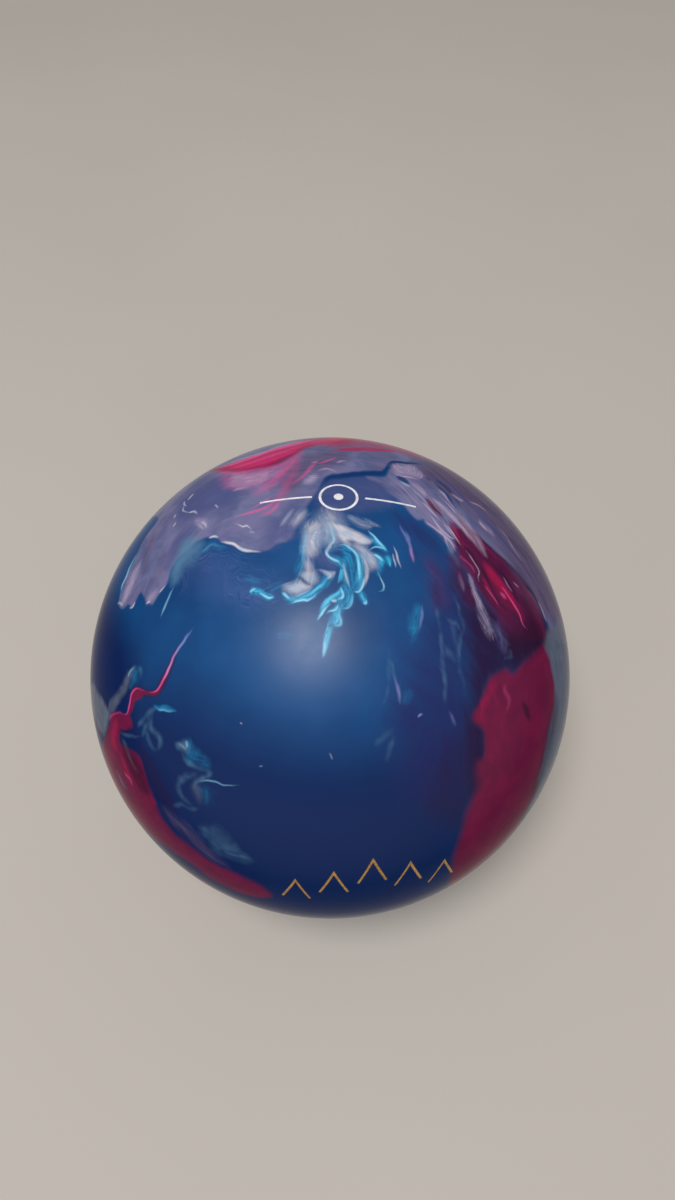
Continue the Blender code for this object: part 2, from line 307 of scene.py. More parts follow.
# Smoky blue wisps
SMOKE = (
    Area(3.0, 0.66, (
        (186, 538), (199, 541), (201, 548), (194, 557), (187.5, 566), (180.5, 576), (174, 585), (170, 576),
        (175, 560))),
    Line(1.2, 0.4, 1.0, ((139, 666), (141, 672), (140, 680))),
    Line(1.2, 0.3, 0.7, ((505, 651), (511, 652), (511, 658), (506, 659), (504, 655))),
    Line(1.1, 0.42, 0.7, ((436, 606), (437.5, 615), (440, 625), (441.5, 636))),
    Line(1.0, 0.6, 1.1, ((441, 629), (441.5, 639), (442, 648), (443, 660))),
    Line(1.4, 0.3, 0.8, ((442, 650), (443, 668), (445, 690), (446, 706))),
    Line(1.5, 0.3, 1.5, ((442, 640), (446, 648), (452, 656), (456, 663))),
    Line(1.1, 0.4, 0.7, ((452, 588), (458.5, 606), (459, 616), (463, 624), (463.5, 630), (460, 639))),
    Line(1.1, 0.5, 0.9, ((460.5, 632), (459, 645), (458, 659))),
    Line(1.3, 0.3, 0.7, ((458, 650), (459, 668), (463.6, 681), (467, 697))),
    Line(1.1, 0.42, 0.8, ((446, 616), (450.5, 621.5), (455, 624), (459, 631))),
    Line(1.4, 0.28, 0.6, ((451, 621), (452, 632), (456, 645))),
    Line(1.4, 0.3, 1.4, ((474, 592), (480, 608), (486, 620), (491, 631))),
    Line(1.2, 0.28, 0.7, ((388.5, 648), (389, 668), (387.5, 686))),
    Line(0.9, 0.45, 0.8, ((388, 680), (385.5, 694), (380, 709))),
    Line(1.0, 0.35, 0.8, ((391.5, 658), (393.5, 671), (396.5, 684))),
    Line(0.9, 0.5, 0.7, ((443, 540), (448, 546), (453, 555))),
    Line(1.2, 0.4, 0.9, ((458.5, 575), (461.5, 584), (465, 592))),
    Area(1.4, 0.55, (
        (176, 744), (181, 742), (186, 740.5), (188.7, 746), (188, 752), (184, 751), (179, 750))),
    Line(1.3, 0.42, 1.2, ((180, 746), (183, 755), (186.5, 761), (193, 765), (201, 768), (208, 771.5))),
    Line(1.2, 0.6, 1.7, (
        (202, 768.5), (208.5, 771.5), (209, 774.5), (202, 778), (195.5, 783), (194.5, 791))),
    Line(1.4, 0.4, 0.9, ((157, 706), (148.5, 713.5), (142.8, 720), (136, 728.5))),
    Line(1.6, 0.45, 1.4, (
        (152, 712), (149.8, 725.6), (153.6, 731.4), (158.7, 737), (159.3, 743.5), (154, 753))),
    Line(1.5, 0.35, 0.8, ((146.5, 730), (150, 743), (158, 752))),
    Line(1.3, 0.32, 0.6, ((149, 716), (144.7, 730.7), (141.5, 739))),
    Line(1.2, 0.17, 0.9, ((121, 735), (124.5, 743), (129, 754), (134, 766), (139, 777))),
    Line(1.6, 0.25, 1.2, ((116, 768), (119, 776), (123, 784), (128, 790))),
    Line(1.0, 0.38, 0.6, ((119, 732.6), (123.3, 734), (131, 736.2), (144, 736.6))),
    Line(2.0, 0.42, 1.4, (
        (199, 773), (190, 776), (183, 778.5), (178.5, 784.3), (179.7, 790.7), (184.4, 798.3), (193, 806))),
    Line(1.5, 0.3, 1.0, ((172, 807), (182, 804), (190, 809), (200, 808))),
    Area(3.4, 0.26, (
        (202, 829), (215, 827.5), (223.5, 837), (231, 844.5), (240.3, 852), (251, 859), (238, 860),
        (226.5, 857), (217, 851), (208.9, 839))),
    Line(1.2, 0.42, 1.2, ((201, 828), (207, 829.5), (212, 835))),
    Line(1.0, 0.6, 1.0, ((222, 850), (230, 854), (239, 856), (253, 860))),
    Line(1.8, 0.3, 2.4, ((375, 745), (384, 736), (393, 730))),
    Line(1.5, 0.33, 1.0, ((393, 735), (391, 748), (385, 762))),
)

# Crimson patches, streaks and the vein
CRIMSON = (
    Area(3.6, 1.0, (
        (210, 470.8), (233, 463.5), (256, 455), (281, 447.2), (305, 440.5), (324, 434), (345, 420),
        (360, 430), (345, 443), (330, 443), (314.6, 445.3), (303, 449.5), (290.7, 457.7), (277.3, 464.4),
        (262, 468.5), (244.7, 472.1), (233.3, 470.6))),
    Area(0.8, 0.95, (
        (449, 520), (453.5, 526), (458.5, 533), (464, 541), (470, 549.5), (463, 546), (457.5, 539.5),
        (452.5, 531.5))),
    Area(1.2, 0.45, (
        (462, 522), (470, 530), (478, 537.5), (488, 546), (499, 556), (509, 566), (518, 576.5), (525, 586),
        (517, 583), (508, 574), (498.5, 565), (489, 556.5), (480, 547.5), (472, 538.5))),
    Area(1.5, 1.0, (
        (480, 555), (486, 563), (492, 570.5), (499, 577.5), (505, 585), (511, 593), (517, 601.5),
        (522, 610), (527, 621), (521, 620), (514, 613.5), (506, 607), (499, 598.5), (493, 588.5),
        (487, 577), (483, 567))),
    Area(1.6, 0.85, (
        (481, 571), (487, 581), (491, 590), (496, 598), (502, 606), (511, 616), (503, 615), (495, 608),
        (488, 598), (483, 588))),
    Area(2.2, 0.5, (
        (450, 522), (458, 521), (466, 524), (480, 538), (500, 557), (519, 578), (534, 600), (543, 620),
        (545, 636), (530, 640), (514, 634), (500, 622), (488, 606), (476, 586), (464, 566), (456, 546))),
    Area(4.0, 0.17, ((426, 560), (438, 563), (446, 582), (448, 602), (439, 610), (431, 598))),
    Area(4.0, 0.24, ((449, 556), (462, 564), (471, 579), (478, 602), (468, 604), (457, 586))),
    Area(2.6, 0.55, (
        (455, 543), (464, 549), (474, 560), (481, 572), (482, 590), (473, 582), (464, 570), (457, 556))),
    Line(1.2, 0.75, 1.6, ((524, 592), (530, 601), (536, 612), (541, 623), (544, 635), (543, 650))),
    Area(4.0, 0.45, ((496, 610), (508, 617), (522, 625), (530, 634), (520, 640), (505, 630))),
    Area(1.6, 1.0, (
        (543, 646), (536, 651), (527, 658), (518, 669), (512, 674), (507, 670), (497, 672), (488, 682),
        (481, 700), (473, 712), (472, 720), (478, 725), (484, 730), (486, 738), (485, 752), (482, 768),
        (480, 790), (486, 800), (520, 800), (536, 780), (543, 757), (548, 733), (553, 711), (555, 690),
        (552, 672), (548, 655))),
    Area(3.0, 1.0, (
        (484, 760), (478, 786), (470, 806), (462, 830), (454, 860), (448, 890), (452, 910), (480, 900),
        (508, 855), (524, 815), (538, 780))),
    Area(1.0, 1.0, (
        (112.4, 712.4), (118, 712.5), (124.5, 714.3), (130, 715), (132.5, 727), (126, 729), (120.7, 730.3),
        (119.4, 738), (121, 744.3), (126.5, 747.5), (133.5, 750.7), (139.2, 757), (144, 772), (150, 790),
        (156, 806), (140, 815), (118, 805), (105, 770), (102, 748), (105.4, 738), (106.7, 731.5),
        (109.9, 722))),
    Area(2.4, 0.95, (
        (146, 785), (154, 802), (163, 820), (174, 833), (186, 843.5), (203, 856.5), (219, 867), (234, 873),
        (250, 880), (264, 889), (270, 896), (256, 897), (236, 891), (212, 879), (190, 863), (164, 845),
        (136, 830), (112, 790), (118, 775))),
    Line(0.7, 0.9, 2.2, WEDGE),
    Line(0.6, 1.0, 1.9, VEIN),
    Area(0.7, 1.0, (
        (144, 691), (138.5, 688.8), (134, 690.3), (132, 696), (132.5, 701), (137, 700), (141, 696.5))),
    Line(0.6, 1.0, 2.2, ((138, 691), (134.5, 697), (132.5, 704), (130, 711), (126, 718))),
)

# Brighter red in the crimson
RUBY = (
    Area(3.6, 0.95, (
        (214, 470.5), (235, 464), (258, 456.5), (282, 449), (305, 442.5), (324, 437), (345, 425),
        (356, 430), (343, 441), (325, 442.5), (308, 446), (292, 454), (276, 461.5), (258, 467),
        (238, 470.5))),
    Area(6.0, 0.62, (
        (318, 438), (340, 429), (372, 426), (405, 435), (436, 451), (414, 456), (395, 450), (370, 447),
        (342, 447), (324, 445))),
    Line(1.2, 0.8, 1.5, ((330, 451), (345, 449.7), (362, 449.2), (382, 450), (403, 452.5))),
    Line(1.6, 0.68, 2.8, ((483, 559), (489, 569), (496, 579), (503.5, 588.5), (511, 599), (518, 610))),
    Line(1.2, 0.16, 1.6, ((468, 529), (481, 541.5), (493, 552.5), (506, 565))),
    Line(1.2, 0.6, 1.6, ((484, 577), (489.5, 588), (497, 600))),
    Line(0.8, 0.6, 1.0, ((450, 523), (455, 530.5), (461, 539))),
    Line(2.5, 0.4, 3, ((496, 680), (488, 696), (481, 712), (487, 726))),
    Line(2.0, 0.5, 2, ((117, 716), (115, 728), (113, 742), (120, 756))),
    Line(1.4, 0.5, 1.2, ((118, 750), (124, 763), (129, 776), (134, 790))),
)

# Dark seams between the red streaks
SEAM = (
    Line(0.7, 0.4, 2.2, WEDGE),
    Line(0.8, 0.8, 1.4, ((454.5, 510), (460.5, 517.5), (468, 527.5))),
    Line(0.9, 0.75, 1.0, (
        (459, 516), (465.7, 525), (475.5, 535), (486, 543.7), (498, 554.8), (509.5, 565), (519, 575.5),
        (527, 586), (534, 597), (540, 608), (545, 619.5))),
    Line(1.0, 0.7, 1.3, ((491, 563), (498, 571), (505, 579.5), (512, 590), (518, 600), (524, 612))),
    Line(0.9, 0.85, 1.3, ((478, 561), (485.5, 574.5), (491, 587), (498, 600))),
    Line(1.2, 0.7, 2.0, ((464, 544), (472, 556), (479.5, 567))),
    Line(2.0, 0.45, 3.0, ((519, 592), (526, 604), (532, 616), (536, 630))),
    Area(4.5, 0.75, ((508, 638), (520, 630), (530, 616), (540, 626), (545, 642), (532, 654), (514, 656))),
    Line(1.2, 0.5, 1.6, ((438, 480), (447, 488), (454, 497), (461, 508))),
    Line(1.3, 0.8, 2.0, ((522, 701), (527, 711), (530, 723))),
    Area(2.0, 0.6, (
        (122, 741), (130, 749), (138, 761), (145, 776), (150, 790), (144, 794), (136, 783), (129, 768),
        (124, 754))),
    Line(2.2, 0.7, 4, ((160, 850), (178, 862), (198, 879), (222, 895), (255, 906))),
    Line(4.0, 0.5, 5, ((556, 690), (554, 720), (546, 755), (535, 790), (515, 830))),
)

# Pink lines along the red, and pink tinges
PINK = (
    Line(0.9, 0.85, 1.0, ((211, 470.5), (233, 464), (256, 456), (281, 448), (305, 441.5), (328, 434))),
    Line(0.8, 0.65, 0.9, ((226, 470), (250, 463), (274, 455), (300, 447))),
    Line(0.8, 0.4, 0.7, ((238, 470), (262, 463.5), (284, 456), (304, 447.5))),
    Line(1.6, 0.45, 1.6, ((250, 471), (270, 467.5), (286, 463), (300, 453))),
    Area(3.5, 0.27, ((222, 474), (250, 472), (276, 467), (270, 480), (256, 486), (236, 489), (222, 484))),
    Area(4, 0.3, (
        (230, 466), (262, 455), (300, 443), (340, 432), (338, 442), (306, 447), (276, 461), (244, 470))),
    Line(3.2, 0.42, 3.4, ((305, 448), (293, 461), (284, 471), (273.4, 481), (263.9, 489), (252, 497))),
    Line(3.2, 0.36, 3.0, ((300, 458), (290, 478), (284, 490), (276, 501), (262, 513))),
    Line(0.9, 0.6, 1.0, ((300, 453), (290, 466), (279, 477), (268, 486))),
    Line(1.4, 0.5, 0.9, ((300, 451), (290, 460), (278, 467), (264, 473))),
    Line(1.4, 0.5, 0.9, ((280, 463), (268, 469), (254, 474), (240, 477))),
    Line(1.0, 0.6, 0.7, ((262, 468), (248, 471.5), (232, 473), (216, 472))),
    Line(0.8, 0.65, 0.9, (
        (284, 495.5), (274, 501), (267, 505.9), (260.8, 509.6), (252, 513), (242.5, 515.2), (231, 515.6))),
    Line(0.7, 0.55, 0.7, ((271, 495), (263.7, 501.3), (259, 504.8), (249, 510))),
    Line(0.9, 0.6, 1.1, ((280, 499.5), (274.6, 506.5), (269, 512), (257, 517))),
    Line(1.2, 0.6, 1.0, ((320, 459.5), (313, 465), (305, 474), (297, 480), (288, 486))),
    Line(0.6, 0.6, 0.6, ((318, 463.5), (326, 461.5), (336, 457.5))),
    Line(0.4, 0.85, 0.6, (
        (501, 586), (504.6, 591), (512.8, 604), (518.9, 613.3), (523, 623.5), (528, 631))),
    Line(0.8, 0.7, 0.9, ((500.5, 592), (502.6, 595), (505, 599))),
    Line(0.4, 0.65, 0.5, ((485, 585), (488.5, 590), (495.5, 599), (499.5, 609))),
    Line(0.35, 0.9, 0.9, (
        (182, 645), (173.8, 655), (169.2, 666.5), (165.4, 676), (162, 683.7), (158.5, 689.5), (153, 692.6),
        (145.6, 691.3))),
    Line(0.4, 0.8, 0.7, (
        (147, 691.3), (138, 689.3), (133.4, 692.6), (131.4, 699), (129.5, 707), (126.5, 713.5),
        (121, 714.2))),
    Line(0.6, 0.45, 0.6, ((124, 770), (126, 775), (130, 780), (133, 787))),
    Line(0.6, 0.45, 0.6, ((109, 722), (112, 714.5), (118, 713), (124, 714.5))),
    Line(1.2, 0.3, 1.2, ((508, 682), (505, 690), (509, 700), (505, 714))),
    Line(0.8, 0.4, 0.8, ((409, 546), (412, 555), (413.5, 563))),
    Line(0.7, 0.36, 0.7, ((458, 553), (464, 559), (470, 566), (474, 574))),
    Line(0.7, 0.3, 0.7, ((459, 572), (462, 581), (464, 592))),
)

# Pale lilac streaks and tinges
LILAC = (
    Area(3.0, 0.34, (
        (234, 473), (250, 474), (266, 471), (276, 469), (268, 478), (256, 483), (240, 487), (232, 484))),
    Line(1.3, 0.5, 0.9, ((230, 486), (245, 481.6), (262, 478.5))),
    Area(1.6, 0.35, ((194, 520), (200, 518), (206.5, 520.5), (207.5, 528), (202, 528.5), (197, 525))),
    Line(0.8, 0.5, 0.6, ((214, 468.5), (236, 461), (262, 452.5), (290, 443.5), (312, 437))),
    Line(1.3, 0.6, 1.0, ((254, 479.5), (262, 476), (272, 472))),
    Line(1.3, 0.55, 0.8, ((232, 491), (240, 488.5), (250, 486.5))),
    Line(0.6, 0.75, 0.8, ((420, 500), (427, 507), (434, 514.5), (441, 522))),
    Line(1.0, 0.65, 1.8, (
        (430, 496), (439, 504), (448, 512), (456.5, 520), (464, 529), (472, 540), (480, 551))),
    Line(0.5, 0.5, 0.6, ((456, 512), (465, 522), (474, 533), (482, 545))),
    Line(1.6, 0.42, 2.6, ((450, 506), (461, 518), (471, 531), (480, 545), (488, 559))),
    Line(0.4, 0.9, 0.9, ((424, 519.5), (432, 526.5), (440, 533), (446, 538.5), (451, 543.5), (456.5, 552))),
    Line(0.4, 0.85, 0.8, ((430, 515), (437, 524.5), (443, 532), (449, 537), (455, 540))),
    Line(0.4, 0.85, 0.8, ((445, 521.5), (450.5, 530), (456, 538), (462.5, 547))),
    Line(0.4, 0.8, 0.7, ((436, 526), (442, 534), (445, 541), (449.5, 550))),
    Line(0.4, 0.7, 0.6, ((439, 516), (446, 526.5), (451, 534.5), (457, 543))),
    Line(0.4, 0.6, 0.5, ((437, 494), (446, 503), (458, 515), (470, 529))),
    Line(0.4, 0.55, 0.5, ((409, 486), (420, 496), (431, 507))),
    Line(0.35, 0.85, 0.6, (
        (463, 546), (470.8, 557.5), (476, 565.3), (479, 571.4), (477.5, 577), (478.4, 583))),
    Line(0.35, 0.6, 0.5, ((501, 576), (506.5, 583.5), (513, 593))),
    Line(0.35, 0.6, 0.5, ((512.5, 580), (520.3, 589.5))),
    Line(1.6, 0.3, 1.6, ((478, 519), (486, 527), (496, 538))),
    Line(0.4, 0.8, 0.9, ((478, 520), (482.5, 525.3), (488, 531.5))),
    Line(0.8, 0.5, 1.2, ((450.5, 493), (457, 497.5), (464, 501.5))),
    Area(1.0, 0.6, (
        (467, 575), (471, 580), (475, 589), (479, 599), (484, 611), (479, 608), (475, 599), (471, 588))),
    Area(2.0, 0.34, ((477, 600), (483, 608), (488, 619), (492, 636), (486, 630), (480, 617))),
    Line(0.5, 0.5, 0.7, ((481, 607), (486, 618), (490, 629), (493, 640))),
    Line(0.5, 0.5, 0.5, ((469, 501.5), (478, 506), (488, 512))),
    Line(0.5, 0.5, 0.6, ((537, 599), (542, 610), (547, 623))),
    Line(0.8, 0.3, 0.8, ((494, 522), (508, 540), (522, 562))),
    Area(2.4, 0.45, (
        (393, 465), (405.8, 465), (416, 468), (421, 473.5), (418, 477.3), (408, 475), (398, 474))),
    Line(0.5, 0.7, 0.6, ((392, 463), (396, 467), (402, 471))),
    Line(0.5, 0.7, 0.6, ((392.5, 471), (400, 476), (409, 477.5), (418, 480))),
    Line(0.5, 0.65, 0.7, ((418.5, 469), (421.3, 475), (417, 479))),
    Line(1.6, 0.6, 1.6, ((413, 483), (420, 489), (427, 496))),
    Line(0.6, 0.7, 0.8, ((436, 488), (444, 495), (449, 501.5), (455, 509.5))),
    Line(0.6, 0.5, 0.5, ((311, 462.3), (315, 461.4), (320, 461.6))),
    Line(0.5, 0.6, 0.5, ((335, 463.3), (340, 461.6), (348, 459.7))),
    Line(0.7, 0.6, 0.7, ((317, 471.5), (324, 469.6), (329, 469.2), (336, 472))),
    Area(1.8, 0.55, ((305, 482), (310, 477), (317, 475), (315, 480), (310, 483.5))),
    Line(2.4, 0.6, 2.0, ((121, 606), (126, 595), (133, 578), (140, 560))),
    Line(2.0, 0.5, 1.8, ((146, 604), (151, 597), (158, 588))),
)

# Pale blue-violet wisps, and a painted sheen: a faint pale haze on the upper left that stands in for a broad
# reflection
FROST_AND_PAINTED_SHEEN = (
    # Painted sheen: a faint pale haze where a broad reflection lies on the upper left
    Area(9, 0.09, ((180, 566), (200, 550), (224, 554), (248, 572), (272, 596), (244, 604), (210, 598))),
    Line(0.4, 0.7, 0.9, (
        (193.5, 628), (188, 637), (181.5, 646), (174.5, 655), (170, 665), (166, 676), (163, 683))),
    Line(0.8, 0.5, 0.9, ((423, 602), (422, 614), (420, 623), (416.5, 633))),
    Line(0.8, 0.55, 1.1, ((394, 675), (397.5, 689), (399.5, 698), (401, 706))),
    Line(0.8, 0.6, 0.8, ((405, 529), (408, 541), (411.5, 553), (414, 564))),
    Line(0.7, 0.6, 0.7, ((399, 524), (405.5, 538), (411, 552))),
    Line(3.0, 0.2, 3, ((492, 619), (498, 631), (503, 643), (507, 655))),
    Line(0.9, 0.35, 0.8, ((449, 710), (453, 719), (456, 728))),
    Line(0.4, 0.8, 0.7, ((418.5, 716.5), (421, 713.3), (423, 712.8))),
)

# Deep turquoise of the wisps
TEAL = (
    Line(2.2, 0.85, 2.2, ((306, 527), (304.5, 540), (303.5, 552), (302.5, 562), (299.5, 572), (295, 581))),
    Line(2.4, 0.7, 3.0, ((322, 517), (328, 527), (331.5, 536), (329.5, 546), (327, 552), (331, 558))),
    Area(1.4, 0.9, (
        (341, 543), (347, 545), (354, 550), (360, 559), (363, 570), (363.5, 580), (360, 590), (354, 592),
        (349, 586), (344, 582), (340, 575), (341, 567), (336, 563), (329, 559), (328, 554), (337, 556),
        (344, 556))),
    Area(1.2, 0.95, (
        (281, 592), (288, 596), (296, 597), (306, 593), (314, 588), (320, 581), (327, 573), (331, 575),
        (328, 583), (321, 590), (316, 596), (306, 599), (297, 602), (291, 603), (285, 600))),
    Area(1.0, 0.95, (
        (316.5, 620), (320, 610), (326, 601), (334, 594), (340, 587), (347, 583), (355, 587), (353.5, 597),
        (352.5, 605), (345.5, 609.5), (342, 614), (342, 622), (337.5, 627), (330, 627), (331, 619),
        (333.5, 613), (327, 613), (334, 607), (335, 604), (328, 605), (322, 613))),
    Area(1.0, 0.9, ((359, 591), (363, 591), (366.5, 597), (367.5, 603), (364, 604.5), (360.5, 599))),
    Line(1.0, 0.9, 2.8, ((334, 620), (331, 631), (328.5, 641), (323, 660))),
    Area(0.8, 0.95, ((370, 532), (376, 537), (381, 544), (386, 551), (379, 549.5), (374, 543))),
    Area(1.2, 0.85, ((373.5, 554.5), (380, 556), (384.5, 560), (382, 566), (377.5, 574), (375.5, 565))),
    Area(0.8, 0.95, ((384.5, 555), (390, 556), (391.5, 562), (388, 565))),
    Area(0.9, 0.9, (
        (249.5, 593), (253, 587), (259, 589), (266, 592.5), (273, 597), (267, 599), (257, 595.5))),
    Line(1.6, 0.5, 1.6, ((241, 576), (248, 578), (254, 580), (266, 586))),
    Line(1.4, 0.4, 1.2, ((265, 591), (278, 586), (292, 583))),
    Area(1.6, 0.6, ((417, 605), (421, 612), (419, 624), (413, 634), (408.5, 628), (410, 617))),
    Line(1.2, 0.35, 0.9, ((415, 634), (412, 639), (408.5, 644))),
    Area(2.0, 0.35, (
        (188.7, 741), (191.2, 744.7), (200, 754), (208, 763.5), (206.5, 768), (199, 765), (190.6, 761.3),
        (186, 755.6), (187.4, 749))),
    Area(0.8, 0.9, (
        (153.4, 705.8), (160, 706.3), (167, 705.8), (172, 708), (176, 710.6), (168.3, 711), (160.6, 710))),
    Line(4.0, 0.22, 3.0, ((206, 784), (207, 796), (208, 808))),
    Line(2.0, 0.5, 2.0, ((138.5, 665), (135.5, 677), (130, 690))),
    Line(1.8, 0.4, 2.2, ((199, 551), (206, 547), (214, 544), (226, 548))),
    Line(2.2, 0.4, 2.4, ((408.5, 691), (407.6, 697), (405.5, 703))),
    Line(0.8, 0.7, 0.9, ((124, 584), (122, 592), (121, 601))),
    Line(1.6, 0.3, 1.2, ((279, 636.5), (285, 636), (291, 636.5))),
)

# Bright turquoise of the wisps
CYAN = (
    Line(0.8, 0.95, 1.7, ((340.5, 567), (340.5, 574), (337.5, 583))),
    Line(0.8, 0.95, 1.5, (
        (349, 547), (356.5, 554.5), (361.5, 564), (363, 575), (361.5, 584), (357, 592.5))),
    Line(1.0, 0.9, 1.7, (
        (281, 593), (287, 597.5), (295, 598.3), (304, 595.5), (312, 592), (320.6, 584.5), (327.5, 575))),
    Line(0.8, 0.85, 1.1, ((289, 602.5), (297, 600), (304, 597.8), (312, 597.2), (320, 590))),
    Line(0.9, 0.95, 2.2, ((343, 587), (338, 593), (331, 597.5), (325, 604), (316.5, 620))),
    Line(0.9, 0.9, 1.9, ((338.5, 607), (336.5, 615), (338, 620), (333, 628))),
    Line(1.0, 0.85, 2.0, ((332, 622), (329, 636), (327, 645), (323, 660))),
    Line(0.9, 0.6, 1.6, ((353, 592), (351, 601), (344, 609))),
    Line(0.7, 0.9, 1.5, ((361.5, 592), (364.2, 598), (366, 605))),
    Line(0.7, 0.9, 1.5, ((374, 536), (380, 544), (386, 551.5))),
    Line(0.7, 0.95, 1.8, ((385, 554), (388, 559.5), (390, 566))),
    Line(0.8, 0.8, 1.3, ((374, 555), (379.5, 560), (381, 567))),
    Line(0.8, 0.85, 1.4, ((252, 589), (258, 591.5), (265, 595), (274, 598))),
    Line(1.0, 0.75, 1.2, ((305.5, 530), (304.6, 541), (304, 552), (303, 564))),
    Line(1.0, 0.6, 1.5, ((327.5, 553), (331, 559), (337, 562), (342, 568))),
    Line(1.4, 0.45, 1.6, ((360, 549), (367, 556), (372, 566))),
)

# Milky white threads and patches
WHITE = (
    Area(2.6, 0.5, (
        (304.5, 529), (308, 523), (316, 520), (323, 524), (326, 532), (324, 541), (319, 548), (316, 553),
        (311, 557), (306.5, 556), (304.5, 546), (303.5, 537))),
    Line(0.9, 1.0, 1.5, ((321, 528), (316.5, 531), (313, 536), (312, 542), (313.2, 547), (317, 554))),
    Line(1.6, 0.6, 2.0, ((312, 521), (308, 533), (307, 544), (307.5, 556))),
    Line(1.8, 0.55, 2.6, ((306.5, 550), (307.5, 560), (309, 567), (310.5, 574), (309, 584))),
    Area(1.6, 0.62, ((303, 574), (309, 571), (315, 574), (317, 580), (313, 585), (307, 584.5), (304, 580))),
    Area(1.8, 0.72, (
        (283, 587), (292, 584), (299, 581.5), (305, 583), (311, 587), (305, 590.5), (296, 593),
        (288, 592))),
    Line(2.0, 0.6, 2.4, ((327, 507), (330, 515), (333, 522), (338, 528))),
    Area(1.3, 0.8, (
        (331, 522), (337, 525), (345, 527.5), (353, 531), (362, 534.5), (371.5, 540), (368, 543.5),
        (360, 544), (353, 541), (347, 541.5), (341, 539), (336, 533))),
    Line(0.9, 0.5, 1.2, ((340, 539), (348, 543), (354, 547))),
    Line(0.8, 0.9, 1.2, ((338, 527), (347, 531), (358, 535.5), (368, 540))),
    Area(1.6, 0.5, (
        (354, 544), (362, 546), (369, 551), (374.5, 558), (375.5, 566.5), (371, 569.5), (366.5, 563.5),
        (361, 555.5), (356, 550))),
    Area(4.0, 0.4, (
        (316, 520), (324, 512), (334, 513), (341, 522), (342, 534), (336, 542), (328, 544), (321, 540))),
    Line(0.9, 0.7, 1.3, ((353, 546), (361, 555), (366, 565), (367.5, 574), (365.5, 583), (361, 591.5))),
    Line(0.7, 0.65, 1.1, ((342, 561), (344.5, 570), (347, 578), (350, 587))),
    Line(0.6, 0.7, 1.1, (
        (325, 519), (331.5, 531), (334, 539), (330.5, 545), (327, 551.5), (329, 556.5), (334, 559.5),
        (340, 562.5))),
    Area(0.8, 0.6, ((319.5, 571.5), (326, 572), (333, 571.5), (328.5, 578), (325.5, 575))),
    Line(0.5, 0.85, 1.0, ((330, 600), (333, 601.5), (336, 601))),
    Line(0.4, 0.85, 0.6, ((391, 551), (395.4, 561), (397.5, 567))),
    Line(0.4, 0.85, 0.6, ((392.5, 544), (397.7, 557), (403, 569))),
    Line(0.5, 0.85, 0.8, ((208, 538), (213, 536.8), (219.5, 537.6))),
    Line(0.5, 0.95, 1.2, (
        (220.5, 540.5), (227, 541.2), (234, 543.6), (242, 549), (250, 551.8), (262, 552.4))),
    Line(2.6, 0.55, 2.0, ((291, 527), (299, 518), (307, 509))),
    Line(1.4, 0.5, 0.8, ((280, 528), (287, 518.5), (294.5, 508.5))),
    Line(0.4, 0.85, 0.5, ((232, 522), (242.5, 527), (246.5, 526.3), (253.5, 530))),
    Line(0.4, 0.6, 0.4, ((248, 530.6), (256.5, 532.2))),
    Line(0.5, 0.55, 0.5, ((187, 501), (190, 497), (194, 493))),
    Line(0.4, 0.7, 0.6, ((184, 501), (184, 504), (187, 507))),
    Line(0.4, 0.75, 0.5, ((184, 505), (184, 511), (190, 513))),
    Line(0.4, 0.75, 0.7, ((188, 513), (193, 512), (197, 515))),
    Line(0.5, 0.5, 0.6, ((196, 522), (200, 526), (203, 530))),
    Line(0.5, 0.6, 0.6, ((201, 520), (205, 524), (206, 530))),
    Line(0.5, 0.4, 0.6, ((176.5, 513.5), (175.3, 515.5), (174.8, 518))),
    Line(0.5, 0.5, 0.6, ((176, 522.5), (174.6, 525), (173, 527.5))),
    Line(0.5, 0.6, 0.6, ((214.5, 505), (217, 506.5), (219, 508.5))),
    Line(0.5, 0.8, 0.7, ((145.5, 604.2), (148, 602.6), (150.5, 603))),
    Line(0.4, 0.75, 0.5, ((158, 594), (162, 588.8), (166, 584.5))),
    Line(0.5, 0.7, 0.6, ((129, 608.5), (132.5, 606.6), (135.6, 601))),
    Line(0.6, 0.6, 0.8, ((117.5, 603.5), (120.5, 603), (123.5, 606.5))),
    Line(0.9, 0.3, 0.7, ((178, 743.5), (182, 746), (187, 750))),
    Line(2.4, 0.5, 1.6, ((347, 515), (356, 521), (364, 524), (374, 525))),
    Line(1.0, 0.45, 0.6, ((361, 517.5), (372, 522.5), (383, 528))),
    Line(0.4, 0.6, 0.4, ((239, 723), (240.5, 723.6), (242, 724.4))),
    Line(0.4, 0.6, 0.4, ((258, 765.6), (260.3, 766.3), (262.4, 767))),
    Line(0.4, 0.5, 0.4, ((329.5, 752), (331, 756), (332.5, 760.5))),
)

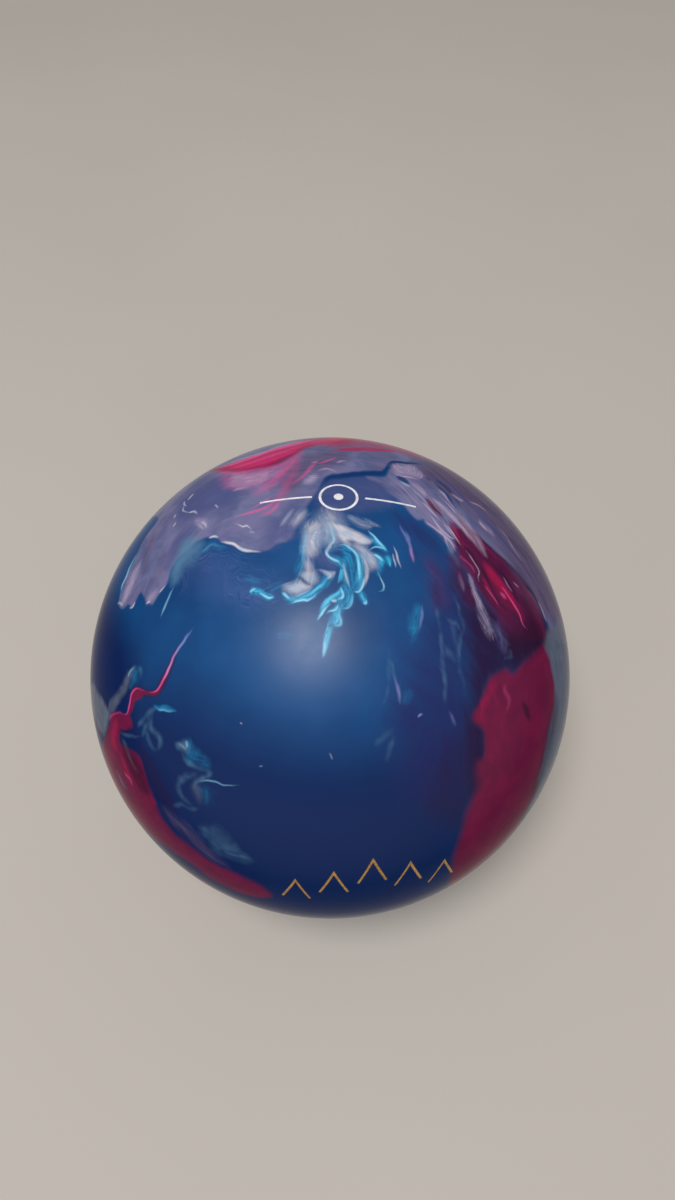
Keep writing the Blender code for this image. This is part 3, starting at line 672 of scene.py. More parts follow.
# Pale blue rims of the wisps
RIM = (
    Line(0.35, 0.95, 0.9, ((258.5, 594), (264, 596), (269.4, 597.6), (273.5, 596.8))),
    Line(0.5, 0.8, 1.1, ((250, 593), (252.5, 590.6), (256, 588.5))),
    Line(0.4, 0.95, 1.0, ((290.5, 603.8), (297, 600.6), (304, 599.2), (309, 599.7), (317, 593.5))),
    Line(0.5, 0.85, 1.1, ((281.5, 592.6), (285.5, 596), (290, 599.6))),
    Line(0.4, 0.95, 1.1, ((339, 585.5), (342.2, 592), (342, 597), (336, 601))),
    Line(0.4, 0.9, 1.0, ((331, 603), (325, 609), (320.7, 614.6), (316, 621))),
    Line(0.4, 0.9, 0.9, ((337, 604.5), (335.5, 610.5), (327.5, 612.5))),
    Line(0.4, 0.7, 0.7, ((353.5, 592), (352.6, 602.6), (348, 608.3), (341, 610))),
    Line(0.4, 0.95, 1.0, ((365, 575), (363.3, 586), (360, 591.5), (354.5, 591))),
    Line(0.4, 0.8, 1.0, ((362.5, 603), (365, 603.6), (367.5, 600.5))),
    Line(0.35, 0.95, 0.8, ((367, 528.5), (374, 534), (380, 543), (386, 551))),
    Line(0.4, 0.8, 0.7, ((369, 550.5), (375.3, 547.8), (381, 548.4), (386, 550.5))),
    Line(0.4, 0.9, 1.0, ((374, 555.2), (377.5, 557), (382, 560.5))),
    Line(0.3, 0.8, 0.55, ((375, 570), (380, 577), (382.4, 585), (381, 589.6), (376, 591.5))),
    Line(0.4, 0.85, 0.8, ((326, 550.5), (328.2, 555.3), (334, 558.7), (340, 562))),
    Line(0.5, 0.85, 0.9, (
        (336, 543.5), (343.5, 543.5), (350.5, 548), (356.5, 556), (360, 566), (360.8, 576), (358, 587))),
    Line(0.5, 0.5, 0.9, ((329, 524), (333, 532), (334.5, 539), (331, 545))),
    Line(0.7, 0.65, 1.2, ((326.6, 638), (325.6, 648), (323, 659))),
    Line(0.5, 0.6, 0.7, ((340.5, 605.5), (339.3, 615), (341.6, 619.8), (340.3, 625.8), (333, 627.3))),
    Line(0.4, 0.42, 0.7, ((153.5, 707.2), (160.6, 709.4), (168.3, 710.8), (176.5, 710.8))),
    Line(0.4, 0.45, 0.7, (
        (197, 781), (203, 779.8), (208.4, 780), (217.4, 783), (224.4, 785), (232, 785.4), (243, 785))),
    Line(0.4, 0.5, 0.8, ((175, 586), (169, 598), (165, 607), (160, 619))),
    Line(0.4, 0.6, 0.6, ((138, 551), (131, 565), (126.5, 577), (122, 586), (120.3, 594))),
    Line(0.6, 0.5, 0.9, ((186.5, 740), (187, 744), (186.5, 748))),
    Line(0.6, 0.4, 0.8, ((134.5, 666.5), (130.5, 672), (127.5, 677))),
    Line(0.9, 0.2, 1.0, ((201, 551), (208, 546.6), (214, 544.6), (223, 547))),
    Line(0.5, 0.5, 0.7, ((399, 480), (405, 485), (411, 487.5))),
)

# Dark gaps in the wisps and the pearl
INK = (
    Line(0.8, 0.85, 2.2, ((397, 476), (403, 480), (410, 485))),
    Line(0.7, 0.9, 1.2, ((300, 576.5), (305, 581), (311, 586))),
    Line(0.8, 0.7, 1.0, ((370, 551.5), (376, 550.8), (382, 552.5))),
    Line(1.0, 0.6, 1.2, ((345, 538), (351, 540.5), (357, 543.5))),
    Line(0.7, 0.75, 1.3, ((344, 548), (351.5, 555), (355.5, 564), (356.5, 574), (354.5, 585))),
    Line(0.5, 0.7, 0.8, ((358, 556), (362.7, 566), (364.2, 577), (361, 588))),
    Line(0.7, 0.7, 1.2, ((344, 558), (349, 567), (351, 577), (352, 588))),
    Line(0.9, 0.6, 1.4, ((332, 551), (338, 553), (343, 558))),
    Line(0.6, 0.6, 0.9, ((346, 590), (345, 598), (341, 606))),
    Line(1.2, 1.0, 2.4, (
        (318, 490), (322, 484), (330.8, 476.8), (345, 475), (365, 473.4), (376, 472.5), (384, 470),
        (389, 463.5))),
    Line(0.8, 1.0, 1.0, ((385, 470), (388, 464.6), (392, 462.2), (399, 462), (409.6, 463.3), (425, 465))),
    Line(0.9, 0.85, 1.2, ((433, 481.5), (441, 489), (447.5, 495), (451, 502), (456, 509))),
    Line(0.5, 0.6, 0.7, ((424.5, 477), (428, 479), (432, 482))),
    Line(0.5, 0.6, 0.7, ((436, 480), (439.5, 482.5), (443, 486))),
    Line(0.4, 0.8, 0.7, ((328.5, 600), (331, 603.4), (333, 606.5))),
    Line(0.5, 0.7, 0.9, ((329.5, 626.3), (332.5, 626.6), (335.5, 625.6))),
)

# All layers. The order of their paints is in layer_paints.
LAYERS = {
    "navy_and_painted_shade": NAVY_AND_PAINTED_SHADE, "violet": VIOLET, "plum": PLUM, "pearl": PEARL, "mauve": MAUVE, "dusk": DUSK, "mist": MIST,
    "crimson": CRIMSON, "ruby": RUBY, "seam": SEAM, "pink": PINK, "fray": FRAY, "lilac": LILAC,
    "frost_and_painted_sheen": FROST_AND_PAINTED_SHEEN, "smoke": SMOKE, "teal": TEAL, "cyan": CYAN, "white": WHITE, "rim": RIM, "ink": INK,
}

# The layers whose lines are split into strands, and how far to each side of a line they reach
STRANDED = ("lilac", "frost_and_painted_sheen", "smoke", "teal", "cyan", "white", "rim")
STRAND_REACH_MM = 6

# The jump in the flow from one line to the next, so that their streaks differ
FLOW_BREAK_MM = 50

# Streaks run along these lines, each as far out as it is the nearest
ANY_REACH_MM = 1000
GUIDES = (
    ((115, 640), (125, 600), (150, 540), (200, 490), (260, 465), (330, 455), (400, 470), (450, 520),
     (500, 575), (535, 630), (550, 700), (535, 790), (470, 880)),
    ((190, 632), (150, 692), (118, 725), (140, 790), (190, 855), (270, 898)),
)


def srgb(red, green, blue):
    """A colour written as screen values from 0 to 255, as the linear values that shaders take."""
    linear = []
    for value in (red / 255, green / 255, blue / 255):
        linear.append(value / 12.92 if value <= 0.04045 else ((value + 0.055) / 1.055) ** 2.4)
    return (*linear, 1.0)


def unit(vectors):
    return vectors / np.linalg.norm(vectors, axis=-1, keepdims=True)


# The point of the ball that faces the camera, and the right and up directions there
FACING = unit(np.array(CAMERA_PLACE))
FACING_RIGHT = unit(np.array((1.0, 0.0, 0.0)) - FACING[0] * FACING)
FACING_UP = np.cross(FACING, FACING_RIGHT)


def pixel_directions(pixels):
    """Where the sight lines through pixels inside the ball's outline meet the ball, as unit directions."""
    focal = LENS_MM / SENSOR_MM * FRAME_HEIGHT
    forward = np.array((0, math.cos(CAMERA_PITCH), -math.sin(CAMERA_PITCH)))
    upward = np.array((0, math.sin(CAMERA_PITCH), math.cos(CAMERA_PITCH)))
    right = pixels[:, 0] - FRAME_WIDTH / 2
    down = pixels[:, 1] - FRAME_HEIGHT / 2
    rays = unit(forward * focal + np.outer(right, (1, 0, 0)) - np.outer(down, upward))
    place = np.array(CAMERA_PLACE)
    along = rays @ place
    depth = np.maximum(along ** 2 - place @ place + BALL_RADIUS ** 2, 0)
    return unit(place - (along + np.sqrt(depth))[:, None] * rays)


def unrolled(directions):
    """A flat map of the ball in millimetres, true to scale outwards from the point that faces the camera."""
    angle = np.arccos(np.clip(directions @ FACING, -1, 1))
    flat = np.stack((directions @ FACING_RIGHT, directions @ FACING_UP), axis=1)
    length = np.maximum(np.linalg.norm(flat, axis=1), TINY)
    return flat * (angle / length * BALL_RADIUS_MM)[:, None]


def on_map(pixels):
    """Pixels on that flat map. Those outside the ball's outline carry on round its back."""
    pixels = np.array(pixels, float)
    offset = pixels - OUTLINE_CENTRE
    reach = np.linalg.norm(offset, axis=1)
    inside = np.minimum(reach, OUTLINE_RADIUS)
    shown = OUTLINE_CENTRE + offset * (inside / np.maximum(reach, TINY))[:, None]
    flat = unrolled(pixel_directions(shown))
    beyond = np.radians((reach - inside) * BACK_DEGREES_PER_PIXEL) * BALL_RADIUS_MM
    length = np.maximum(np.linalg.norm(flat, axis=1), TINY)
    return flat * (1 + beyond / length)[:, None]


def smoothed(points, closed):
    """A smooth curve through points, as a closely spaced row of points."""
    points = np.array(points, float)
    if closed:
        padded = np.concatenate((points[-1:], points, points[:2]))
    else:
        padded = np.concatenate((2 * points[:1] - points[1:2], points, 2 * points[-1:] - points[-2:-1]))
    row = []
    for before, start, end, after in zip(padded, padded[1:], padded[2:], padded[3:]):
        for step in range(SMOOTH_STEPS):
            t = step / SMOOTH_STEPS
            slope = (end - before) / 2
            bend = before - 2.5 * start + 2 * end - after / 2
            twist = 1.5 * (start - end) + (after - before) / 2
            row.append(start + t * (slope + t * (bend + t * twist)))
    if not closed:
        row.append(points[-1])
    return np.array(row)


def to_segment(places, start, end):
    """How far places lie from a straight segment, and how far along it the nearest point is, from 0 to 1."""
    run = end - start
    along = np.clip((places - start) @ run / max(run @ run, TINY), 0, 1)
    return np.linalg.norm(places - start - along[:, None] * run, axis=1), along


def line_depth(places, curve):
    """How deep places lie inside a line of changing width, in millimetres, and below zero outside it."""
    depth = np.full(len(places), -np.inf)
    for start, end in zip(curve, curve[1:]):
        distance, along = to_segment(places, start[:2], end[:2])
        depth = np.maximum(depth, start[2] + along * (end[2] - start[2]) - distance)
    return depth


def area_depth(places, curve):
    """How deep places lie inside a closed outline, in millimetres, and below zero outside it."""
    nearest = np.full(len(places), np.inf)
    inside = np.zeros(len(places), bool)
    for start, end in zip(curve, np.roll(curve, -1, axis=0)):
        nearest = np.minimum(nearest, to_segment(places, start, end)[0])
        spans = (start[1] > places[:, 1]) != (end[1] > places[:, 1])
        run = end - start
        crossing = start[0] + (places[:, 1] - start[1]) / (run[1] or TINY) * run[0]
        inside ^= spans & (places[:, 0] < crossing)
    return np.where(inside, nearest, -nearest)


def shape_curve(shape):
    """A shape's points on the flat map, as a smooth curve. A line's third column is half its width there."""
    points = np.array(shape.points, float)
    if isinstance(shape, Area):
        return smoothed(on_map(points), True)
    forward = unit(np.gradient(points, axis=0))
    aside = np.stack((-forward[:, 1], forward[:, 0]), axis=1) * shape.width
    half_width = np.linalg.norm(on_map(points + aside) - on_map(points - aside), axis=1) / 2
    curve = smoothed(np.column_stack((on_map(points), np.minimum(half_width, WIDEST_MM))), False)
    ends = np.abs(np.linspace(-1, 1, len(curve))) ** END_POWER
    curve[:, 2] = curve[:, 2] * (1 - ends) - END_FADE * shape.softness * ends
    return curve


def places_near(places, curve, margin):
    """Which places lie in a curve's box, widened by a margin."""
    low = curve[:, :2].min(axis=0) - margin
    high = curve[:, :2].max(axis=0) + margin
    return np.flatnonzero(((places > low) & (places < high)).all(axis=1))


def shape_field(places, shape):
    """The places near a shape, and how deep each lies inside it, in units of its softness."""
    curve = shape_curve(shape)
    margin = FIELD_LIMIT * shape.softness + (0 if isinstance(shape, Area) else curve[:, 2].max())
    near = places_near(places, curve, margin)
    depth = area_depth if isinstance(shape, Area) else line_depth
    return near, depth(places[near], curve) / shape.softness


def wandered(places):
    """Places moved a little by crossing waves."""
    random = np.random.default_rng(WAVES_SEED)
    moved = places.copy()
    for length, size in WAVES_MM:
        for _ in range(WAVES_PER_LENGTH):
            heading, push = random.uniform(0, 2 * math.pi, 2)
            shift = random.uniform(0, WAVES_SHIFT)
            along = places @ (np.cos(heading), np.sin(heading))
            wave = np.sin(along * (2 * math.pi / length) + shift)
            moved += np.outer(wave, (np.cos(push), np.sin(push))) * (size / math.sqrt(WAVES_PER_LENGTH))
    return moved


def part_covered(depth, cover):
    """The depth at which the shader's smooth step gives only a share of its cover."""
    share = np.clip((depth + 1) / 2, 0, 1)
    return -2 * np.sin(np.arcsin(1 - 2 * cover * share ** 2 * (3 - 2 * share)) / 3)


def layer_field(places, shapes):
    """The union of a layer's shapes."""
    field = np.full(len(places), -FIELD_LIMIT)
    for shape in shapes:
        near, depth = shape_field(places, shape)
        if shape.cover < 1:
            depth = np.where(depth > -1, part_covered(depth, shape.cover), depth)
        field[near] = np.maximum(field[near], depth)
    return np.clip(field, -FIELD_LIMIT, FIELD_LIMIT)


def wanted_edges(places):
    """How long the mesh's edges may be at each place, so that it carries the drawn shapes."""
    wanted = np.full(len(places), COARSE_EDGE_MM)
    for shapes in LAYERS.values():
        for shape in shapes:
            near, depth = shape_field(places, shape)
            edge = SOFT_EDGE_MM if shape.softness > SOFT_ABOVE_MM else CRISP_EDGE_MM
            close = np.abs(depth) < REFINE_REACH
            if isinstance(shape, Line):
                edge = FINE_EDGE_MM if shape.softness <= FINE_UP_TO_MM else edge
                close = depth > -REFINE_REACH
            wanted[near[close]] = np.minimum(wanted[near[close]], edge)
    return wanted


def coordinates(items):
    return np.array([item[:] for item in items], float)


def refined_ball():
    """A ball whose faces get smaller where the marbling is fine."""
    bm = bmesh.new()
    bmesh.ops.create_icosphere(bm, subdivisions=BALL_SUBDIVISIONS, radius=BALL_RADIUS)
    for _ in range(REFINE_PASSES):
        middles = coordinates([face.calc_center_median() for face in bm.faces])
        wanted = wanted_edges(unrolled(unit(middles)))
        split = set()
        for face, edge_mm in zip(bm.faces, wanted):
            longest = max(edge.calc_length() for edge in face.edges)
            if longest * MM_PER_METRE > REFINE_ABOVE * edge_mm:
                split.update(face.edges)
        bmesh.ops.subdivide_edges(bm, edges=list(split), cuts=1, use_grid_fill=True)
        bmesh.ops.triangulate(bm, faces=[face for face in bm.faces if len(face.verts) > 3])
        for vertex in bm.verts:
            vertex.co = vertex.co.normalized() * BALL_RADIUS
    return bm


def shade(mesh):
    mesh.shade_smooth()
    mesh.set_sharp_from_angle(angle=SHARP_ANGLE)


def add_object(name, bm):
    """Turn a bmesh into a named, smooth-shaded object."""
    bmesh.ops.recalc_face_normals(bm, faces=bm.faces)
    mesh = bpy.data.meshes.new(name)
    bm.to_mesh(mesh)
    bm.free()
    shade(mesh)
    made = bpy.data.objects.new(name, mesh)
    bpy.context.scene.collection.objects.link(made)
    return made


def add_piece(name, bm, node, material):
    """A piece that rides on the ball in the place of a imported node."""
    piece = add_object(name, bm)
    piece.data.materials.append(material)
    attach(piece, "root")
    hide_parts(node)
    return piece


def place_axes(tilt, azimuth):
    """The turn from +Z to a place on the ball, with +X to the right there."""
    outward = Vector((math.sin(tilt) * math.cos(azimuth), math.sin(tilt) * math.sin(azimuth), math.cos(tilt)))
    right = (Vector((1, 0, 0)) - outward.x * outward).normalized()
    return Matrix((right, outward.cross(right), outward)).transposed()


def on_ball(flat, radius):
    """Lay a point of a flat drawing, given in metres along the surface, on a sphere about the centre."""
    arc = flat.length
    if arc == 0:
        return Vector((0, 0, radius))
    sideways = flat.normalized() * math.sin(arc / BALL_RADIUS)
    return Vector((sideways.x, sideways.y, math.cos(arc / BALL_RADIUS))) * radius


def in_steps(path, closed):
    """Split a path's straight runs into short steps."""
    points = []
    corners = [Vector(corner) for corner in path]
    runs = list(zip(corners, corners[1:] + corners[:1]))
    if not closed:
        runs.pop()
    for start, end in runs:
        steps = math.ceil((end - start).length / STROKE_STEP)
        for step in range(steps):
            points.append(start.lerp(end, step / steps))
    if not closed:
        points.append(corners[-1])
    return points


def lengthened(path, extra):
    """An open path run on past both of its ends."""
    first, second = Vector(path[0]), Vector(path[1])
    before_last, last = Vector(path[-2]), Vector(path[-1])
    start = first + (first - second).normalized() * extra
    end = last + (last - before_last).normalized() * extra
    return [start, *path[1:-1], end]


def add_stroke(bm, path, closed, section, axes):
    """A bar along a flat path on the ball. Its section is a closed row of (sideways, radius) points."""
    points = in_steps(path, closed)
    count = len(points)
    rings = []
    for index, here in enumerate(points):
        before = points[index - 1] if closed or index > 0 else None
        after = points[(index + 1) % count] if closed or index < count - 1 else None
        into = (here - before).normalized() if before else (after - here).normalized()
        out_of = (after - here).normalized() if after else into
        into_normal = Vector((-into.y, into.x))
        mitre = (into_normal + Vector((-out_of.y, out_of.x))).normalized()
        side = mitre / mitre.dot(into_normal)
        rings.append([bm.verts.new(axes @ on_ball(here + side * shift, radius)) for shift, radius in section])
    following = rings[1:] + rings[:1] if closed else rings[1:]
    for ring, after in zip(rings, following):
        for corner in range(len(section)):
            beside = (corner + 1) % len(section)
            bm.faces.new((ring[corner], ring[beside], after[beside], after[corner]))
    if not closed:
        bm.faces.new(rings[0])
        bm.faces.new(rings[-1])


def add_turned(bm, profile, axes):
    """Turn a profile of (radius, height) points about a place's outward axis, where it starts and ends."""
    rings = []
    for radius, height in profile[1:-1]:
        ring = []
        for step in range(ROUND_SEGMENTS):
            angle = 2 * math.pi * step / ROUND_SEGMENTS
            corner = Vector((radius * math.cos(angle), radius * math.sin(angle), height))
            ring.append(bm.verts.new(axes @ corner))
        rings.append(ring)
    first = bm.verts.new(axes @ Vector((0, 0, profile[0][1])))
    last = bm.verts.new(axes @ Vector((0, 0, profile[-1][1])))
    for step in range(ROUND_SEGMENTS):
        after = (step + 1) % ROUND_SEGMENTS
        bm.faces.new((first, rings[0][step], rings[0][after]))
        bm.faces.new((last, rings[-1][after], rings[-1][step]))
        for below, above in zip(rings, rings[1:]):
            bm.faces.new((below[step], above[step], above[after], below[after]))


def add_bore(grooves, radius, foot, axes):
    """The round cut that a peg of this radius fits in."""
    bore = radius + FIT_GAP
    add_turned(grooves, ((0, foot), (bore, foot), (bore, CUT_TOP), (0, CUT_TOP)), axes)


def paint_section():
    """Across a painted line: square at the foot, with a top that dries slightly hollow."""
    half = LINE_WIDTH / 2
    foot = GROOVE_FOOT + FIT_GAP
    top = [(half * share, PAINT_TOP - PAINT_DIP * (1 - share ** 2)) for share in (-1, -0.5, 0, 0.5, 1)]
    return [(-half, foot), *top, (half, foot)]


def groove_section():
    half = LINE_WIDTH / 2 + FIT_GAP
    return [(-half, GROOVE_FOOT), (-half, CUT_TOP), (half, CUT_TOP), (half, GROOVE_FOOT)]


def arrow_paths():
    for number in range(ARROW_COUNT):
        from_middle = number - (ARROW_COUNT - 1) / 2
        x = from_middle * (ARROW_WIDTH + ARROW_SPACING)
        foot = -abs(from_middle) * ARROW_STAGGER - ARROW_HEIGHT / 2
        yield (x - ARROW_WIDTH / 2, foot), (x, foot + ARROW_HEIGHT), (x + ARROW_WIDTH / 2, foot)


def ring_path():
    points = []
    for step in range(ROUND_SEGMENTS):
        angle = 2 * math.pi * step / ROUND_SEGMENTS
        points.append((RING_DIAMETER / 2 * math.cos(angle), RING_DIAMETER / 2 * math.sin(angle)))
    return points


def sight_path(side):
    inner_end = RING_DIAMETER / 2 + SIGHT_SPACING
    return (side * inner_end, 0), (side * (inner_end + SIGHT_LENGTH), 0)


def painted_line(name, node, path, closed, axes, material, grooves):
    """One paint-filled engraved line. Its groove joins the others that the cover is cut with."""
    bm = bmesh.new()
    add_stroke(bm, path, closed, paint_section(), axes)
    add_piece(name, bm, node, material)
    add_stroke(grooves, path if closed else lengthened(path, FIT_GAP), closed, groove_section(), axes)


def build_lane_arrows(grooves):
    axes = place_axes(ARROWS_TILT, ARROWS_AZIMUTH)
    gold = gold_material()
    for number, path in enumerate(arrow_paths(), 1):
        name = f"arrow_paint_{number}"
        node = f"lane_arrow_fill_{number}"
        painted_line(name, node, path, False, axes, gold, grooves)


def build_balance_mark(grooves):
    axes = place_axes(BALANCE_TILT, BALANCE_AZIMUTH)
    white = white_material()
    painted_line("ring_paint", "balance_ring_fill", ring_path(), True, axes, white, grooves)
    for side, way in (("left", -1), ("right", 1)):
        name = f"sight_paint_{side}"
        node = f"sight_line_fill_{side}"
        painted_line(name, node, sight_path(way), False, axes, white, grooves)
    build_balance_dot(axes, white, grooves)


def build_balance_dot(axes, white, grooves):
    radius = DOT_DIAMETER / 2
    foot = GROOVE_FOOT + FIT_GAP
    hollow = ((radius, PAINT_TOP), (radius / 2, PAINT_TOP - PAINT_DIP / 2), (0, PAINT_TOP - PAINT_DIP))
    bm = bmesh.new()
    add_turned(bm, ((0, foot), (radius, foot), *hollow), axes)
    add_piece("dot_paint", bm, "balance_dot_fill", white)
    add_bore(grooves, radius, GROOVE_FOOT, axes)


def build_locator_pin(grooves):
    """The pin with a top ground to the ball's own curve, and the bore that it stands in."""
    axes = place_axes(PIN_TILT, PIN_AZIMUTH)
    outward = axes.col[2]
    foot = min(vertex.co.dot(outward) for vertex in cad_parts["locator_pin"].data.vertices)
    profile = [(0, foot), (PIN_RADIUS - PIN_CHAMFER, foot), (PIN_RADIUS, foot + PIN_CHAMFER)]
    for step in range(PIN_TOP_STEPS, 0, -1):
        radius = PIN_RADIUS * step / PIN_TOP_STEPS
        profile.append((radius, math.sqrt(PAINT_TOP ** 2 - radius ** 2)))
    profile.append((0, PAINT_TOP))
    bm = bmesh.new()
    add_turned(bm, profile, axes)
    add_piece("ground_pin", bm, "locator_pin", pin_material())
    add_bore(grooves, PIN_RADIUS, BALL_RADIUS - COVERSTOCK_THICKNESS - CUT_MARGIN, axes)


def cut_away(target, cutter):
    boolean = target.modifiers.new(cutter.name, "BOOLEAN")
    boolean.operation = "DIFFERENCE"
    boolean.solver = "EXACT"
    boolean.object = cutter


def build_cover(grooves):
    """The marbled cover: a fine ball, hollowed and engraved, that carries the drawn layers as attributes."""
    cover = add_piece("marbled_cover", refined_ball(), "coverstock", cover_material())
    hollow = bmesh.new()
    bmesh.ops.create_uvsphere(hollow, u_segments=CAVITY_SEGMENTS, v_segments=CAVITY_SEGMENTS // 2,
                              radius=BALL_RADIUS - COVERSTOCK_THICKNESS)
    cutters = (add_object("cut_hollow", hollow), add_object("cut_grooves", grooves))
    for cutter in cutters:
        cut_away(cover, cutter)
    depsgraph = bpy.context.evaluated_depsgraph_get()
    cover.data = bpy.data.meshes.new_from_object(cover.evaluated_get(depsgraph))
    cover.modifiers.clear()
    for cutter in cutters:
        bpy.data.objects.remove(cutter)
    shade(cover.data)
    paint_cover(cover.data)


def write_attribute(mesh, name, kind, values):
    attribute = mesh.attributes.new(name, kind, "POINT")
    attribute.data.foreach_set("value" if kind == "FLOAT" else "vector", values.astype(np.float32).ravel())


def flow_of(places, curves, reach):
    """How far along the nearest curve in reach each place is, and how far to its side, in millimetres."""
    nearest = np.full(len(places), np.inf)
    flow = np.zeros((len(places), 3))
    length = 0
    for curve in curves:
        near = places_near(places, curve, reach)
        for start, end in zip(curve, curve[1:]):
            distance, along = to_segment(places[near], start, end)
            run = end - start
            step = np.linalg.norm(run)
            closer = distance < nearest[near]
            chosen = near[closer]
            aside = np.sign((places[chosen] - start) @ (-run[1], run[0]))
            nearest[chosen] = distance[closer]
            flow[chosen, 0] = length + along[closer] * step
            flow[chosen, 1] = aside * distance[closer]
            length += step
        length += FLOW_BREAK_MM
    return flow


def strand_curves():
    """The middles of all drawn wisps."""
    lines = [shape for name in STRANDED for shape in LAYERS[name] if isinstance(shape, Line)]
    return [shape_curve(line)[:, :2] for line in lines]


def paint_cover(mesh):
    directions = unit(coordinates([vertex.co for vertex in mesh.vertices]))
    flat = unrolled(directions)
    places = wandered(flat)
    for name, shapes in LAYERS.items():
        write_attribute(mesh, name, "FLOAT", layer_field(places, shapes))
    guides = [smoothed(on_map(guide), False) for guide in GUIDES]
    write_attribute(mesh, "flow", "FLOAT_VECTOR", flow_of(flat, guides, ANY_REACH_MM))
    write_attribute(mesh, "strand", "FLOAT_VECTOR", flow_of(places, strand_curves(), STRAND_REACH_MM))
    turned_away = np.degrees(np.arccos(np.clip(directions @ FACING, -1, 1)))
    write_attribute(mesh, "back", "FLOAT", np.clip((turned_away - BACK_STARTS) / BACK_FADE, 0, 1))


class Graph:
    """Short names for building one material's nodes."""

    def __init__(self, name):
        self.material = bpy.data.materials.new(name)
        self.material.use_nodes = True
        self.tree = self.material.node_tree
        self.shader = self.tree.nodes["Principled BSDF"]

    def node(self, kind, inputs=None, **settings):
        made = self.tree.nodes.new(kind)
        for name, value in settings.items():
            setattr(made, name, value)
        for socket, value in (inputs or {}).items():
            self.feed(made.inputs[socket], value)
        return made

    def feed(self, socket, value):
        if isinstance(value, bpy.types.NodeSocket):
            self.tree.links.new(value, socket)
        else:
            socket.default_value = value

    def place(self):
        return self.node("ShaderNodeTexCoord").outputs["Object"]

    def attribute(self, name, output="Fac"):
        return self.node("ShaderNodeAttribute", attribute_name=name).outputs[output]

    def noise(self, vector, scale, detail=4.0, roughness=0.5, distortion=0.0):
        inputs = {"Vector": vector, "Scale": scale, "Detail": detail, "Roughness": roughness,
                  "Distortion": distortion}
        return self.node("ShaderNodeTexNoise", inputs).outputs[0]

    def noise_vector(self, vector, scale, detail=2.0):
        inputs = {"Vector": vector, "Scale": scale, "Detail": detail}
        return self.node("ShaderNodeTexNoise", inputs).outputs[1]

    def streaks(self, flow, along, across, detail=3, roughness=0.5, distortion=0.5):
        """Noise drawn out along a flow."""
        return self.noise(self.scaled(flow, (along, across, 1.0)), 1.0, detail, roughness, distortion)

    def scaled(self, vector, factors):
        return self.node("ShaderNodeVectorMath", {0: vector, 1: factors}, operation="MULTIPLY").outputs[0]

    def shifted(self, vector, shift, amount):
        """A vector moved by a colour's departure from mid grey."""
        grey = (0.5, 0.5, 0.5)
        centred = self.node("ShaderNodeVectorMath", {0: shift, 1: grey}, operation="SUBTRACT").outputs[0]
        inputs = {0: centred, 1: (amount, amount, amount), 2: vector}
        return self.node("ShaderNodeVectorMath", inputs, operation="MULTIPLY_ADD").outputs[0]

    def math(self, operation, first, second=0.0, third=0.0):
        return self.node("ShaderNodeMath", {0: first, 1: second, 2: third}, operation=operation).outputs[0]

    def step(self, value, low, high, to_low=0.0, to_high=1.0):
        """A smooth step from one value to another as the input runs from low to high."""
        inputs = {"Value": value, "From Min": low, "From Max": high, "To Min": to_low, "To Max": to_high}
        return self.node("ShaderNodeMapRange", inputs, interpolation_type="SMOOTHSTEP").outputs[0]

    def ridge(self, value, middle, width):
        """A line along the places where a value has its middle."""
        away = self.math("ABSOLUTE", self.math("SUBTRACT", value, middle))
        return self.step(away, width, SWIRL_CORE * width)

    def mix(self, factor, first, second):
        return self.node("ShaderNodeMix", {0: factor, 6: first, 7: second}, data_type="RGBA").outputs[2]

    def bump(self, height, strength, distance):
        inputs = {"Height": height, "Strength": strength, "Distance": distance}
        return self.node("ShaderNodeBump", inputs).outputs[0]

    def finish(self, **sockets):
        for name, value in sockets.items():
            self.feed(self.shader.inputs[name.replace("_", " ").title().replace("Ior", "IOR")], value)
        return self.material


def cover_noises(graph, place):
    """The noises that fray the drawn layers: even ones, and ones drawn out along the pour or the wisps."""
    flow = graph.shifted(graph.attribute("flow", "Vector"), graph.noise_vector(place, 16, 1.0), 11.0)
    return {
        "fine": graph.noise(place, 520, 5, 0.6),
        "broad": graph.noise(place, 22, 3, 0.5),
        "cloud": graph.noise(place, 85, 4, 0.5, 0.6),
        "wisp": graph.noise(graph.shifted(place, graph.noise_vector(place, 90), 0.010), 190, 1.5, 0.4),
        "streak": graph.streaks(flow, 0.035, 0.30),
        "thin_streak": graph.streaks(flow, 0.06, 0.9, distortion=0.4),
        "hair": graph.streaks(flow, 0.05, 1.7, detail=2, distortion=0.6),
        "strand": graph.streaks(graph.attribute("strand", "Vector"), 0.16, 1.1, roughness=0.55),
    }


def back_covers(graph, place):
    """Where swirls of the same colours lie round the back."""
    swirled = graph.shifted(place, graph.noise_vector(place, 7), 0.16)
    swirled = graph.shifted(swirled, graph.noise_vector(swirled, 21), 0.04)
    drawn_out = graph.scaled(swirled, (1.0, 0.45, 0.7))
    clouds = graph.noise(swirled, 11, 3, 0.45)
    ribbons = graph.noise(drawn_out, 15, 3, 0.5)
    strands = graph.noise(drawn_out, 46, 3, 0.5)
    patches = graph.noise(place, 13, 2)

    def in_patches(swirl, low, high):
        return graph.math("MULTIPLY", swirl, graph.step(patches, low, high))

    return {
        "violet": graph.step(patches, 0.48, 0.66),
        "plum": graph.ridge(ribbons, 0.56, 0.11),
        "pearl": graph.step(clouds, 0.53, 0.60),
        "crimson": in_patches(graph.ridge(ribbons, 0.56, 0.06), 0.42, 0.49),
        "pink": in_patches(graph.ridge(ribbons, 0.583, 0.006), 0.50, 0.58),
        "teal": in_patches(graph.ridge(strands, 0.50, 0.045), 0.46, 0.36),
        "cyan": in_patches(graph.ridge(strands, 0.50, 0.018), 0.44, 0.34),
        "white": in_patches(graph.ridge(strands, 0.53, 0.016), 0.42, 0.33),
    }


